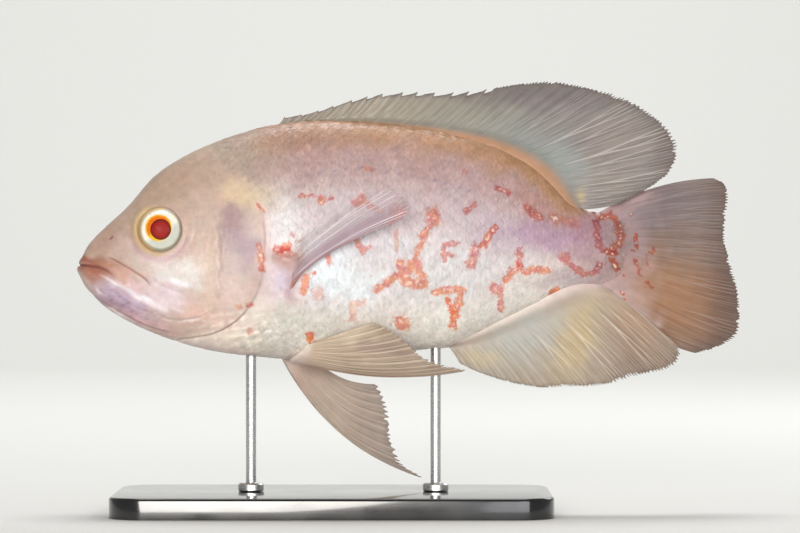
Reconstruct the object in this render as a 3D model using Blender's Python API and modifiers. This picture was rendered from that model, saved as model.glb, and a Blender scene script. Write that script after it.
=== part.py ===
# An oscar, the albino tiger form, as a still life-size model on a plain display stand.
# Metres, +Z up. The fish faces -X and its left side faces -Y. The origin is on the
# floor, under the middle of the fish's length.

import math

import bmesh
import bpy
import numpy as np
from mathutils import Matrix, Vector
from mathutils.bvhtree import BVHTree

GAP = 0.0003  # left between any two pieces that meet
SEAT_GAP = 0.0005  # under the corners of a fin's root

# The skin. Each line runs from the snout to the end of the tail stalk, as (x, value).
SNOUT_X = -0.130
STALK_END_X = 0.077
TRUNK_END_X = 0.052
NOSE_RADIUS = 0.004
BACK_LINE = (
    (-0.130, 0.0987), (-0.128, 0.1008), (-0.125, 0.1048), (-0.120, 0.1100),
    (-0.110, 0.1193), (-0.100, 0.1307), (-0.090, 0.1377), (-0.080, 0.1428),
    (-0.070, 0.1466), (-0.060, 0.1496), (-0.045, 0.1523), (-0.025, 0.1527),
    (0.000, 0.1508), (0.020, 0.1470), (0.038, 0.1410), (0.048, 0.1352),
    (0.056, 0.1278), (0.062, 0.1216), (0.067, 0.1184), (0.078, 0.1174),
)
BELLY_LINE = (
    (-0.130, 0.0907), (-0.128, 0.0888), (-0.125, 0.0858), (-0.120, 0.0808),
    (-0.110, 0.0743), (-0.100, 0.0696), (-0.090, 0.0660), (-0.078, 0.0629),
    (-0.062, 0.0606), (-0.047, 0.0593), (-0.030, 0.0588), (-0.014, 0.0600),
    (0.000, 0.0624), (0.008, 0.0635), (0.013, 0.0638), (0.020, 0.0665),
    (0.034, 0.0734), (0.048, 0.0802), (0.058, 0.0853), (0.064, 0.0873),
    (0.071, 0.0875), (0.078, 0.0864),
)
HALF_WIDTH = (
    (-0.130, 0.0066), (-0.125, 0.0092), (-0.118, 0.0117), (-0.108, 0.0150),
    (-0.096, 0.0181), (-0.080, 0.0207), (-0.064, 0.0224), (-0.046, 0.0230),
    (-0.020, 0.0222), (0.005, 0.0196), (0.030, 0.0146), (0.050, 0.0100),
    (0.064, 0.0070), (0.078, 0.0052),
)
WIDEST_HEIGHT = (
    (-0.130, 0.0948), (-0.118, 0.0945), (-0.100, 0.0975), (-0.080, 0.1000),
    (-0.050, 0.1020), (0.000, 0.1035), (0.040, 0.1045), (0.078, 0.1031),
)
BACK_POWER = ((-0.130, 2.2), (-0.100, 2.15), (-0.070, 1.95), (-0.030, 1.8), (0.078, 1.9))
BELLY_POWER = ((-0.130, 2.3), (-0.100, 2.4), (-0.060, 2.15), (0.000, 2.0), (0.078, 1.9))
# Low swellings and hollows of the flank: centre x and z, reach in x and z, height.
SWELLINGS = (
    (-0.0970, 0.1098, 0.0130, 0.0120, -0.0007),  # the socket's hollow round the eye
    (-0.0900, 0.0930, 0.0110, 0.0080, 0.0011),  # the cheek
    (-0.0860, 0.0780, 0.0120, 0.0055, 0.0009),  # the jaw muscle at the cheek's foot
    (-0.1150, 0.0840, 0.0100, 0.0050, 0.0008),  # the side of the lower jaw
    (-0.1120, 0.1010, 0.0080, 0.0040, -0.0005),  # the hollow over the upper lip
    (-0.0480, 0.0930, 0.0070, 0.0130, 0.0006),  # the shoulder at the pectoral's foot
)
COVER_LIFT = 0.0009  # how far the gill cover stands out over the shoulder
COVER_LIFT_FROM_X, COVER_LIFT_TO_X = -0.080, -0.071

# Where the head ends: over the nape, down the gill opening, to the throat.
HEAD_END = (
    (-0.0730, 0.1600), (-0.0710, 0.1470), (-0.0670, 0.1340), (-0.0620, 0.1235),
    (-0.0575, 0.1180), (-0.0560, 0.1110), (-0.0561, 0.1000), (-0.0575, 0.0890),
    (-0.0612, 0.0812), (-0.0660, 0.0757), (-0.0715, 0.0720), (-0.0780, 0.0694),
    (-0.0850, 0.0682), (-0.0900, 0.0670), (-0.0935, 0.0630), (-0.0945, 0.0520),
)
# The gill cover's front edge, from its top to where it runs forward under the cheek.
COVER_FRONT = (
    (-0.0600, 0.1245), (-0.0680, 0.1212), (-0.0735, 0.1150), (-0.0755, 0.1050),
    (-0.0752, 0.0930), (-0.0765, 0.0830), (-0.0805, 0.0775), (-0.0870, 0.0745),
    (-0.0955, 0.0735), (-0.0995, 0.0708), (-0.1020, 0.0660),
)
COVER_THICKNESS = 0.0030
# The line of the mouth from the snout to its corner, and the back of the lower jaw.
MOUTH_LINE = (
    (-0.1400, 0.0966), (-0.1290, 0.0964), (-0.1240, 0.0957), (-0.1200, 0.0948),
    (-0.1170, 0.0932), (-0.1152, 0.0914),
)
JAW_END = ((-0.1120, 0.0882), (-0.1068, 0.0852), (-0.1037, 0.0815), (-0.1030, 0.0760),
           (-0.1040, 0.0640))
UPPER_LIP_RISE, UPPER_LIP_RADIUS = 0.0018, 0.0018
LOWER_LIP_DROP, LOWER_LIP_RADIUS = 0.0022, 0.0021
LIP_SUNK = 0.0008
LIP_FOLD = ((-0.1195, 0.0997), (-0.1150, 0.0976), (-0.1100, 0.0948), (-0.1050, 0.0920),
            (-0.1015, 0.0893), (-0.1005, 0.0870))
FOLD_RADIUS = 0.0005

EYE_X, EYE_Z = -0.0960, 0.1098
EYE_RADIUS, EYE_HALF_DEPTH, EYE_SUNK = 0.0088, 0.0072, 0.0024
CORNEA_RADIUS, CORNEA_RISE = 0.0062, 0.0007
EYE_YAW, EYE_PITCH = math.radians(2.0), math.radians(3.0)
RIM_HALF_REAR, RIM_HALF_FRONT = 0.0006, 0.0015
NOSTRIL_X, NOSTRIL_Z = -0.1158, 0.1067
NOSTRIL_LENGTH, NOSTRIL_WIDTH, NOSTRIL_DEPTH = 0.0017, 0.0011, 0.0016

# The tail swings a little to the fish's right.
SWAY_FROM_X, SWAY_AT_TAIL = 0.012, 0.0080
TAIL_END_X = 0.130

# Fins. Roots and tips are (x, z) in the order of the rays. rows are the stations along a ray,
# bow lifts the first and the last ray at their middle, and notch draws the membrane in between
# the tips. before and after carry the membrane half a ray past the first and the last.
MEMBRANE_HALF = 0.0003
FIN_ROWS = (0, 0.12, 0.3, 0.5, 0.7, 0.87, 1.0)
SPINY_DORSAL = {
    "root_x": (-0.0535, 0.0130),
    "tips": (
        (-0.0490, 0.1542), (-0.0440, 0.1547), (-0.0360, 0.1565), (-0.0250, 0.1600),
        (-0.0110, 0.1631), (0.0020, 0.1639), (0.0160, 0.1638), (0.0260, 0.1646),
        (0.0330, 0.1657),
    ),
    "rays": 13, "bow": (-0.0005, -0.0005), "notch": 0.16, "after": 0.5,
    "root_half": 0.0013, "root_share": 0.35, "ray_half": 0.0004,
    "rows": (0, 0.3, 0.5, 0.7, 0.87, 1.0),
}
SOFT_DORSAL = {
    "root_x": (0.0136, 0.0650),
    "tips": (
        (0.0334, 0.1658), (0.0450, 0.1674), (0.0550, 0.1682), (0.0640, 0.1670),
        (0.0720, 0.1650), (0.0800, 0.1630), (0.0880, 0.1596), (0.0950, 0.1548),
        (0.1005, 0.1500), (0.1038, 0.1456), (0.1046, 0.1410), (0.1034, 0.1365),
        (0.1010, 0.1322), (0.0970, 0.1290), (0.0920, 0.1256), (0.0865, 0.1228),
        (0.0815, 0.1203),
    ),
    "rays": 20, "bow": (-0.0005, -0.0006), "notch": 0.025, "before": 0.5,
    "root_half": 0.0014, "root_share": 0.35, "ray_half": 0.0003, "rows": FIN_ROWS,
}
ANAL = {
    "root_x": (0.0140, 0.0740),
    "tips": (
        (0.0195, 0.0578), (0.0260, 0.0548), (0.0380, 0.0506), (0.0460, 0.0490),
        (0.0520, 0.0484), (0.0600, 0.0487), (0.0700, 0.0489), (0.0780, 0.0500),
        (0.0850, 0.0520), (0.0920, 0.0539), (0.0980, 0.0551), (0.1030, 0.0572),
        (0.1053, 0.0605), (0.1048, 0.0645),
    ),
    "rays": 19, "bow": (0.0003, 0.0008), "notch": 0.03, "root_spread": 1.15, "tip_spread": 0.93,
    "root_half": 0.0014, "root_share": 0.35, "ray_half": 0.0003, "rows": FIN_ROWS,
}
CAUDAL_RAYS = 17
CAUDAL_BOW = (0.0030, -0.0040)
CAUDAL_ROOTS = ((0.0773, 0.1172), (0.0773, 0.0866))
CAUDAL_TIPS = (
    (0.1190, 0.1303), (0.1228, 0.1282), (0.1245, 0.1240), (0.1242, 0.1180),
    (0.1234, 0.1110), (0.1233, 0.1055), (0.1246, 0.1005), (0.1263, 0.0950),
    (0.1278, 0.0900), (0.1290, 0.0850), (0.1297, 0.0800), (0.1299, 0.0750),
    (0.1295, 0.0710), (0.1280, 0.0680), (0.1240, 0.0655), (0.1180, 0.0630),
    (0.1120, 0.0617),
)
PECTORAL = {
    "roots": ((-0.0445, 0.1035), (-0.0452, 0.0950), (-0.0462, 0.0850)),
    "tips": (
        (-0.0170, 0.1266), (-0.0110, 0.1279), (-0.0058, 0.1266), (-0.0022, 0.1218),
        (-0.0006, 0.1172), (-0.0036, 0.1123),
    ),
    "rays": 14, "bow": (0.0055, 0.0055), "notch": 0.02, "tips_off": (0.0105, 0.0150, 0.0125),
    "root_half": 0.0011, "root_share": 0.3, "ray_half": 0.0003, "rows": FIN_ROWS,
}
LEFT_PELVIC = {
    "roots": ((-0.0465, 0.0599), (-0.0430, 0.0624), (-0.0395, 0.0655)),
    "tips": (
        (0.0222, 0.0556), (0.0125, 0.0578), (0.0072, 0.0598), (0.0028, 0.0628),
        (-0.0010, 0.0662), (-0.0055, 0.0703), (-0.0140, 0.0745),
    ),
    "rays": 11, "bow": (-0.0046, 0.0), "notch": 0.03, "spread": (0.0150, 0.0235),
    "root_half": 0.0010, "root_share": 0.3, "ray_half": 0.0004, "rows": FIN_ROWS,
}
RIGHT_PELVIC = {
    "roots": ((-0.0500, 0.0601), (-0.0450, 0.0608), (-0.0400, 0.0630)),
    "tips": (
        (0.0056, 0.0114), (-0.0036, 0.0180), (-0.0060, 0.0236), (-0.0080, 0.0302),
        (-0.0085, 0.0378), (-0.0106, 0.0442), (-0.0130, 0.0492),
    ),
    "rays": 11, "bow": (-0.0078, -0.0040), "notch": 0.03, "spread": (0.0260, 0.0180),
    "root_half": 0.0010, "root_share": 0.3, "ray_half": 0.0004, "rows": FIN_ROWS,
}

# The stand: a plate on the floor and two rods up to the belly.
BASE_X, BASE_LENGTH, BASE_WIDTH, BASE_THICKNESS = -0.030, 0.170, 0.090, 0.008
BASE_CORNER, BASE_EDGE = 0.014, 0.0012
ROD_XS = {"stand_rod_front": -0.0620, "stand_rod_rear": 0.0100}
ROD_RADIUS, COLLAR_RADIUS, COLLAR_HEIGHT, COLLAR_CHAMFER = 0.0020, 0.0050, 0.0030, 0.0006
ROD_STEPS = 16

# Colours are linear RGB, then roughness and metallic.
FINISHES = {
    "albino_skin": ((0.74, 0.56, 0.48), 0.42, 0.0),
    "jaw_skin": ((0.66, 0.52, 0.58), 0.38, 0.0),
    "fin_membrane": ((0.60, 0.52, 0.44), 0.45, 0.0),
    "eye": ((0.80, 0.74, 0.58), 0.12, 0.0),
    "brushed_steel": ((0.62, 0.62, 0.63), 0.30, 1.0),
    "black_acrylic": ((0.012, 0.012, 0.013), 0.28, 0.0),
}


def clear_scene():
    for obj in list(bpy.data.objects):
        bpy.data.objects.remove(obj)


def new_collection(name):
    collection = bpy.data.collections.new(name)
    bpy.context.scene.collection.children.link(collection)
    return collection


def finish_material(name):
    found = bpy.data.materials.get(name)
    if found:
        return found
    colour, roughness, metallic = FINISHES[name]
    material = bpy.data.materials.new(name)
    material.use_nodes = True
    shader = material.node_tree.nodes["Principled BSDF"]
    shader.inputs["Base Color"].default_value = (*colour, 1.0)
    shader.inputs["Roughness"].default_value = roughness
    shader.inputs["Metallic"].default_value = metallic
    return material


# Smooth lines


def line_through(points):
    """A smooth function of the first coordinate, through every point."""
    xs, ys = np.array(points, float).T
    slopes = np.gradient(ys, xs)

    def value(x):
        x = np.clip(np.asarray(x, float), xs[0], xs[-1])
        i = np.clip(np.searchsorted(xs, x) - 1, 0, len(xs) - 2)
        step = xs[i + 1] - xs[i]
        t = (x - xs[i]) / step
        return (
            (2 * t**3 - 3 * t**2 + 1) * ys[i]
            + (t**3 - 2 * t**2 + t) * step * slopes[i]
            + (3 * t**2 - 2 * t**3) * ys[i + 1]
            + (t**3 - t**2) * step * slopes[i + 1]
        )

    return value


def path_through(points):
    """A smooth path over 0 to 1, evenly along the points' length, as an array of points."""
    points = np.array(points, float)
    lengths = np.concatenate([[0.0], np.cumsum(np.linalg.norm(np.diff(points, axis=0), axis=1))])
    share = lengths / lengths[-1]
    sides = [line_through(np.stack([share, side], axis=1)) for side in points.T]
    return lambda t: np.stack([side(t) for side in sides], axis=-1)


def smooth_step(low, high, value):
    t = np.clip((np.asarray(value, float) - low) / (high - low), 0.0, 1.0)
    return t * t * (3 - 2 * t)


back_line, belly_line = line_through(BACK_LINE), line_through(BELLY_LINE)
half_width, widest_height = line_through(HALF_WIDTH), line_through(WIDEST_HEIGHT)
back_power, belly_power = line_through(BACK_POWER), line_through(BELLY_POWER)


# The skin's own shape


def section(x):
    """Top, widest height, bottom and half width at x, with the snout's end rounded."""
    t = np.clip((x - SNOUT_X) / NOSE_RADIUS, 0.0, 1.0)
    rounding = np.sqrt(np.clip(1 - (1 - t) ** 2, 0.0, 1.0))
    middle = widest_height(x)
    top = middle + (back_line(x) - middle) * rounding
    bottom = middle + (belly_line(x) - middle) * rounding
    return top, middle, bottom, half_width(x) * rounding


def swelling(x, z):
    total = 0.0
    for centre_x, centre_z, reach_x, reach_z, height in SWELLINGS:
        off = ((x - centre_x) / reach_x) ** 2 + ((z - centre_z) / reach_z) ** 2
        total = total + height * np.exp(-off)
    return total


def cover_lift(x):
    return COVER_LIFT * smooth_step(COVER_LIFT_FROM_X, COVER_LIFT_TO_X, x)


def skin_ring(x, count, lift=False, inset=0.0):
    """A closed ring of points round the fish at x, from the back down its left side."""
    top, middle, bottom, wide = section(x)
    angle = np.arange(count) * 2 * math.pi / count
    up = np.cos(angle) >= 0
    power = np.where(up, back_power(x), belly_power(x))
    reach = np.where(up, top - middle, middle - bottom) - inset
    z = middle + reach * np.sign(np.cos(angle)) * np.abs(np.cos(angle)) ** (2 / power)
    share = np.abs(np.sin(angle)) ** (2 / power)
    y = share * (wide - inset) + np.minimum(1.0, 2 * share) * swelling(x, z)
    if lift:
        y = y + np.minimum(1.0, 2 * share) * cover_lift(x)
    return np.stack([np.full(count, float(x)), -np.sign(np.sin(angle)) * y, z], axis=1)


def flank(x, z):
    """Half the fish's thickness at x and height z, or 0 outside its outline."""
    top, middle, bottom, wide = section(x)
    up = z >= middle
    power = np.where(up, back_power(x), belly_power(x))
    reach = np.where(up, top - middle, middle - bottom)
    share = np.clip(1 - np.clip(np.abs(z - middle) / reach, 0.0, 1.0) ** power, 0.0, 1.0) ** (1 / power)
    return share * wide + np.minimum(1.0, 2 * share) * swelling(x, z)


def sway(x):
    """How far the body's middle lies to the fish's right at x."""
    return SWAY_AT_TAIL * (np.clip(x - SWAY_FROM_X, 0.0, None) / (TAIL_END_X - SWAY_FROM_X)) ** 1.8


# Mesh helpers


def add_object(name, mesh, collection, finish=None):
    obj = bpy.data.objects.new(name, mesh)
    collection.objects.link(obj)
    if finish:
        mesh.materials.append(finish_material(finish))
    return obj


def as_helper(obj):
    obj.hide_render = True
    obj.display_type = "WIRE"
    return obj


def mesh_from(name, points, faces):
    mesh = bpy.data.meshes.new(name)
    mesh.from_pydata([tuple(p) for p in points], [], faces)
    mesh.update()
    return mesh


def loft(name, rings, nose=None):
    """A closed mesh over a list of like rings. The last is capped, the first too or drawn to a nose."""
    count = len(rings[0])
    points = [p for ring in rings for p in ring]
    faces = []
    for i in range(len(rings) - 1):
        for j in range(count):
            a, b = i * count + j, i * count + (j + 1) % count
            faces.append((a, b, b + count, a + count))
    if nose is None:
        faces.append(tuple(reversed(range(count))))
    else:
        points.append(nose)
        tip = len(points) - 1
        faces += [(tip, (j + 1) % count, j) for j in range(count)]
    last = (len(rings) - 1) * count
    faces.append(tuple(last + j for j in range(count)))
    return mesh_from(name, points, faces)


def face_out(mesh):
    """Turns the faces outwards."""
    bm = bmesh.new()
    bm.from_mesh(mesh)
    bmesh.ops.recalc_face_normals(bm, faces=bm.faces)
    if bm.calc_volume(signed=True) < 0:
        bmesh.ops.reverse_faces(bm, faces=bm.faces)
    bm.to_mesh(mesh)
    bm.free()
    return mesh


def outline_normals(points):
    ahead = np.roll(points, -1, axis=0) - np.roll(points, 1, axis=0)
    ahead /= np.linalg.norm(ahead, axis=1)[:, None]
    return np.stack([ahead[:, 1], -ahead[:, 0]], axis=1)


def grown(outline, distance):
    """The outline moved outwards by distance. It runs anticlockwise, seen with x right and z up."""
    points = np.array(outline, float)
    return points + outline_normals(points) * distance


def prism(name, outline, y_from, y_to, collection):
    """An outline in x and z, extruded from y_from to y_to, as a mesh helper."""
    curve = bpy.data.curves.new(name, "CURVE")
    curve.dimensions = "2D"
    curve.fill_mode = "BOTH"
    curve.extrude = (y_to - y_from) / 2
    spline = curve.splines.new("POLY")
    spline.points.add(len(outline) - 1)
    for point, (x, z) in zip(spline.points, outline):
        point.co = (x, z, 0.0, 1.0)
    spline.use_cyclic_u = True
    obj = bpy.data.objects.new(name, curve)
    obj.rotation_euler = (math.pi / 2, 0, 0)
    obj.location = (0, (y_from + y_to) / 2, 0)
    collection.objects.link(obj)
    return as_helper(mesh_of_curve(obj, collection))


def mesh_of_curve(obj, collection):
    """The curve object's mesh with its caps welded, in world space, in its place."""
    bpy.context.view_layer.update()
    graph = bpy.context.evaluated_depsgraph_get()
    mesh = bpy.data.meshes.new_from_object(obj.evaluated_get(graph))
    mesh.transform(obj.matrix_world)
    bm = bmesh.new()
    bm.from_mesh(mesh)
    bmesh.ops.remove_doubles(bm, verts=bm.verts, dist=1e-6)
    bm.to_mesh(mesh)
    bm.free()
    name = obj.name
    bpy.data.objects.remove(obj)
    return add_object(name, face_out(mesh), collection)


def tube(name, points, radii, collection, resolution=2):
    """A round tube along points, with a radius at each, as a mesh helper."""
    curve = bpy.data.curves.new(name, "CURVE")
    curve.dimensions = "3D"
    curve.bevel_depth = 1.0
    curve.bevel_resolution = resolution
    curve.use_fill_caps = True
    spline = curve.splines.new("POLY")
    spline.points.add(len(points) - 1)
    for point, place, radius in zip(spline.points, points, radii):
        point.co = (*place, 1.0)
        point.radius = radius
    obj = bpy.data.objects.new(name, curve)
    collection.objects.link(obj)
    return as_helper(mesh_of_curve(obj, collection))


def boolean(obj, other, operation):
    """Cuts, meets or joins obj with a helper object or with a collection of them, and applies it."""
    modifier = obj.modifiers.new(operation.lower(), "BOOLEAN")
    modifier.operation = operation
    modifier.solver = "EXACT"
    if isinstance(other, bpy.types.Collection):
        modifier.operand_type = "COLLECTION"
        modifier.collection = other
    else:
        modifier.object = other
    bpy.context.view_layer.update()
    graph = bpy.context.evaluated_depsgraph_get()
    made = bpy.data.meshes.new_from_object(obj.evaluated_get(graph))
    obj.modifiers.clear()
    obj.data = made
    return obj


def keep_largest(obj):
    """Drops all but the largest closed surface, triangulated."""
    bm = bmesh.new()
    bm.from_mesh(obj.data)
    bmesh.ops.triangulate(bm, faces=bm.faces)
    bmesh.ops.remove_doubles(bm, verts=bm.verts, dist=1e-6)
    bmesh.ops.dissolve_degenerate(bm, edges=bm.edges, dist=1e-6)
    bm.verts.index_update()
    left, islands = set(bm.verts), []
    while left:
        island, front = set(), [left.pop()]
        while front:
            vertex = front.pop()
            island.add(vertex)
            for edge in vertex.link_edges:
                other = edge.other_vert(vertex)
                if other in left:
                    left.remove(other)
                    front.append(other)
        islands.append(island)
    keep = max(islands, key=lambda island: abs(volume_of(island)))
    bmesh.ops.delete(bm, geom=[v for v in bm.verts if v not in keep], context="VERTS")
    bm.to_mesh(obj.data)
    bm.free()
    return obj


def surface_of(mesh):
    points = [vertex.co.copy() for vertex in mesh.vertices]
    return BVHTree.FromPolygons(points, [list(face.vertices) for face in mesh.polygons])


def on_ridge(body, point, side):
    """The point moved up or down to just clear of the body's middle line."""
    out = Vector((0, 0, side))
    place, normal, _, _ = body.ray_cast(Vector((point[0], 0, point[2])) + out * 0.04, -out)
    return (point[0], point[1], place.z + side * SEAT_GAP / abs(normal.z))


def on_flank(body, point):
    """The point moved to just clear of the body's nearest place."""
    place, normal, _, _ = body.find_nearest(Vector(point))
    return place + normal * SEAT_GAP


def volume_of(vertices):
    faces = {face for vertex in vertices for face in vertex.link_faces}
    return sum(f.verts[0].co.dot(f.verts[1].co.cross(f.verts[2].co)) for f in faces) / 6


def swing(obj):
    """Bends the finished piece with the body's sway."""
    for vertex in obj.data.vertices:
        vertex.co.y += float(sway(vertex.co.x))
    return obj


def shade(obj):
    obj.data.shade_smooth()
    obj.data.set_sharp_from_angle(angle=math.radians(40))
    return obj


# Head and body


def skin_mesh(name, xs, count, nose=False, lift=False, inset=0.0):
    rings = [skin_ring(x, count, lift, inset) for x in xs]
    tip = (SNOUT_X, 0.0, float(widest_height(SNOUT_X))) if nose else None
    return face_out(loft(name, rings, tip))


def head_stations(last):
    """Close together over the snout's end, then even."""
    steps = np.linspace(0, math.pi / 2, 6)[1:]
    nose = SNOUT_X + NOSE_RADIUS * (1 - np.cos(steps))
    return np.concatenate([nose, np.arange(nose[-1] + 0.0028, last, 0.0031), [last]])


def lip_points(height_above, sunk, last_x):
    """Points round the snout along the mouth's line, from the left corner to the right."""
    path = path_through(MOUTH_LINE[1:])(np.linspace(1, 0, 9))
    path = [(x, z + height_above) for x, z in path if SNOUT_X + 0.0012 < x <= last_x]
    side = [(x, -(flank(x, z) - sunk), z) for x, z in path]
    front = [(SNOUT_X + 0.0010 + sunk, 0.0, MOUTH_LINE[1][1] + height_above)]
    return side + front + [(x, -y, z) for x, y, z in reversed(side)]


def lip(name, height_above, radius, collection):
    points = lip_points(height_above, LIP_SUNK, MOUTH_LINE[-1][0])
    count = len(points)
    taper = [0.45 + 0.55 * math.sin(math.pi * i / (count - 1)) ** 0.5 for i in range(count)]
    return tube(name, points, [radius * t for t in taper], collection, 2)


def eye_frame(side):
    """The eye's place and turn: local Z points out of the head."""
    depth = float(flank(EYE_X, EYE_Z)) - EYE_SUNK
    out = Vector((-math.sin(EYE_YAW), side * math.cos(EYE_YAW), math.sin(EYE_PITCH)))
    turn = out.to_track_quat("Z", "Y").to_matrix().to_4x4()
    return Matrix.Translation((EYE_X, side * depth, EYE_Z)) @ turn


def eye_profile(grow):
    """Radius and height along the eye's axis, from its front down to its back."""
    points = []
    for i in range(12):
        angle = math.pi * i / 11
        radius = (EYE_RADIUS + grow) * math.sin(angle)
        height = (EYE_HALF_DEPTH + grow) * math.cos(angle)
        if height > 0:
            height += CORNEA_RISE * float(smooth_step(CORNEA_RADIUS, CORNEA_RADIUS * 0.7, radius))
        points.append((radius, 0.0, height))
    return points


def eyeball(name, side, collection, grow=0.0, finish=None):
    """A turned lens-shaped ball with a low cornea."""
    profile = eye_profile(grow)
    mesh = mesh_from(name, profile, [])
    mesh.edges.add(len(profile) - 1)
    for i, edge in enumerate(mesh.edges):
        edge.vertices = (i, i + 1)
    obj = add_object(name, mesh, collection, finish)
    screw = obj.modifiers.new("turn", "SCREW")
    screw.steps = screw.render_steps = 24
    screw.use_merge_vertices = True
    screw.merge_threshold = 0.00005
    bpy.context.view_layer.update()
    graph = bpy.context.evaluated_depsgraph_get()
    made = bpy.data.meshes.new_from_object(obj.evaluated_get(graph))
    obj.modifiers.clear()
    made.transform(eye_frame(side))
    obj.data = face_out(made)
    return obj


def eye_edge(side, angle, grow):
    """Where a ball that much larger would meet the skin, at that angle round the eye."""
    frame = eye_frame(side).inverted()
    low, high = 0.003, 0.016
    for _ in range(24):
        reach = (low + high) / 2
        x, z = EYE_X + reach * math.cos(angle), EYE_Z + reach * math.sin(angle)
        place = Vector((x, side * float(flank(x, z)), z))
        own = frame @ place
        across = (own.x**2 + own.y**2) / (EYE_RADIUS + grow) ** 2
        inside = across + own.z**2 / (EYE_HALF_DEPTH + grow) ** 2 < 1
        low, high = (reach, high) if inside else (low, reach)
    return place


def eye_rim(name, side, collection):
    """The fold of skin round the eye, broad in front of it."""
    curve = bpy.data.curves.new(name, "CURVE")
    curve.dimensions = "3D"
    curve.bevel_depth = 1.0
    curve.bevel_resolution = 1
    spline = curve.splines.new("POLY")
    spline.points.add(27)
    for i, point in enumerate(spline.points):
        angle = i * 2 * math.pi / 28
        half = RIM_HALF_REAR + (RIM_HALF_FRONT - RIM_HALF_REAR) * (1 - math.cos(angle)) / 2
        point.co = (*eye_edge(side, angle, half * 0.9), 1.0)
        point.radius = half
    spline.use_cyclic_u = True
    obj = bpy.data.objects.new(name, curve)
    collection.objects.link(obj)
    return as_helper(mesh_of_curve(obj, collection))


def fold_groove(name, side, collection):
    """The crease over the upper lip."""
    path = path_through(LIP_FOLD)(np.linspace(0, 1, 10))
    points = [(x, side * float(flank(x, z)), z) for x, z in path]
    radii = [FOLD_RADIUS * (0.5 + 0.5 * math.sin(math.pi * i / 9)) for i in range(10)]
    return tube(name, points, radii, collection, 1)


def nostril_pit(name, side, collection):
    bm = bmesh.new()
    bmesh.ops.create_uvsphere(bm, u_segments=12, v_segments=8, radius=1.0)
    bmesh.ops.scale(bm, vec=(NOSTRIL_LENGTH / 2, NOSTRIL_DEPTH, NOSTRIL_WIDTH / 2), verts=bm.verts)
    place = (NOSTRIL_X, side * float(flank(NOSTRIL_X, NOSTRIL_Z)), NOSTRIL_Z)
    bmesh.ops.translate(bm, vec=place, verts=bm.verts)
    mesh = bpy.data.meshes.new(name)
    bm.to_mesh(mesh)
    bm.free()
    return as_helper(add_object(name, mesh, collection))


def head_outline():
    """Everything in front of the head's end, anticlockwise."""
    end = path_through(HEAD_END)(np.linspace(1, 0, 32))
    return np.concatenate([[(-0.150, 0.052)], end, [(-0.150, 0.160)]])


def cover_outline():
    """The gill cover, from its front edge to past the head's end, anticlockwise."""
    front = path_through(COVER_FRONT)(np.linspace(0, 1, 20))
    behind = [(-0.090, 0.0580), (-0.060, 0.0640), (-0.045, 0.0850), (-0.044, 0.1150)]
    return np.concatenate([front, behind])


def jaw_outline():
    """Everything under the mouth's line and in front of the jaw's end, anticlockwise."""
    mouth = path_through(MOUTH_LINE)(np.linspace(1, 0, 12))
    end = path_through((MOUTH_LINE[-1], *JAW_END))(np.linspace(1, 0, 12))
    return np.concatenate([[(-0.140, 0.0640)], end[:-1], mouth])


def build_head(parts, cutters):
    """The head, lower jaw and gill covers, cut from one skin."""
    whole = add_object("head", skin_mesh("head", head_stations(-0.050), 40, nose=True, lift=True), parts)
    raised = new_collection("Raised forms")
    lip("upper_lip", UPPER_LIP_RISE, UPPER_LIP_RADIUS, raised)
    lip("lower_lip", -LOWER_LIP_DROP, LOWER_LIP_RADIUS, raised)
    for side, hand in ((-1, "left"), (1, "right")):
        eye_rim(f"rim_{hand}", side, raised)
    boolean(whole, raised, "UNION")
    for obj in list(raised.objects):
        bpy.data.objects.remove(obj)
    bpy.data.collections.remove(raised)
    boolean(whole, prism("head_cut", head_outline(), -0.05, 0.05, cutters), "INTERSECT")
    cut_head = whole.data.copy()

    jaw = add_object("jaw_lower", cut_head.copy(), parts)
    boolean(jaw, prism("jaw_cut", jaw_outline(), -0.05, 0.05, cutters), "INTERSECT")

    covers = []
    core_xs = np.arange(-0.112, -0.047, 0.0033)
    core = skin_mesh("cover_core", core_xs, 40, lift=True, inset=COVER_THICKNESS)
    core = as_helper(add_object("cover_core", core, cutters))
    for hand, low, high in (("left", -0.05, -GAP / 2), ("right", GAP / 2, 0.05)):
        cover = add_object(f"gill_cover_{hand}", cut_head.copy(), parts)
        boolean(cover, prism(f"cover_{hand}_cut", cover_outline(), low, high, cutters), "INTERSECT")
        boolean(cover, core, "DIFFERENCE")
        covers.append(cover)

    boolean(whole, prism("jaw_room", grown(jaw_outline(), GAP), -0.05, 0.05, cutters), "DIFFERENCE")
    room = prism("cover_room", grown(cover_outline(), GAP), -0.05, 0.05, cutters)
    inner = skin_mesh("room_core", core_xs, 40, lift=True, inset=COVER_THICKNESS + GAP)
    boolean(room, as_helper(add_object("room_core", inner, cutters)), "DIFFERENCE")
    boolean(whole, room, "DIFFERENCE")
    for side, hand in ((-1, "left"), (1, "right")):
        boolean(whole, as_helper(eyeball(f"socket_{hand}", side, cutters, GAP)), "DIFFERENCE")
        boolean(whole, fold_groove(f"fold_{hand}", side, cutters), "DIFFERENCE")
        boolean(whole, nostril_pit(f"nostril_{hand}_cut", side, cutters), "DIFFERENCE")
    for obj in (whole, jaw, *covers):
        obj.data.materials.clear()
        obj.data.materials.append(finish_material("jaw_skin" if obj is jaw else "albino_skin"))
        shade(keep_largest(obj))
    for side, hand in ((-1, "left"), (1, "right")):
        shade(eyeball(f"eye_{hand}", side, parts, finish="eye"))


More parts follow.
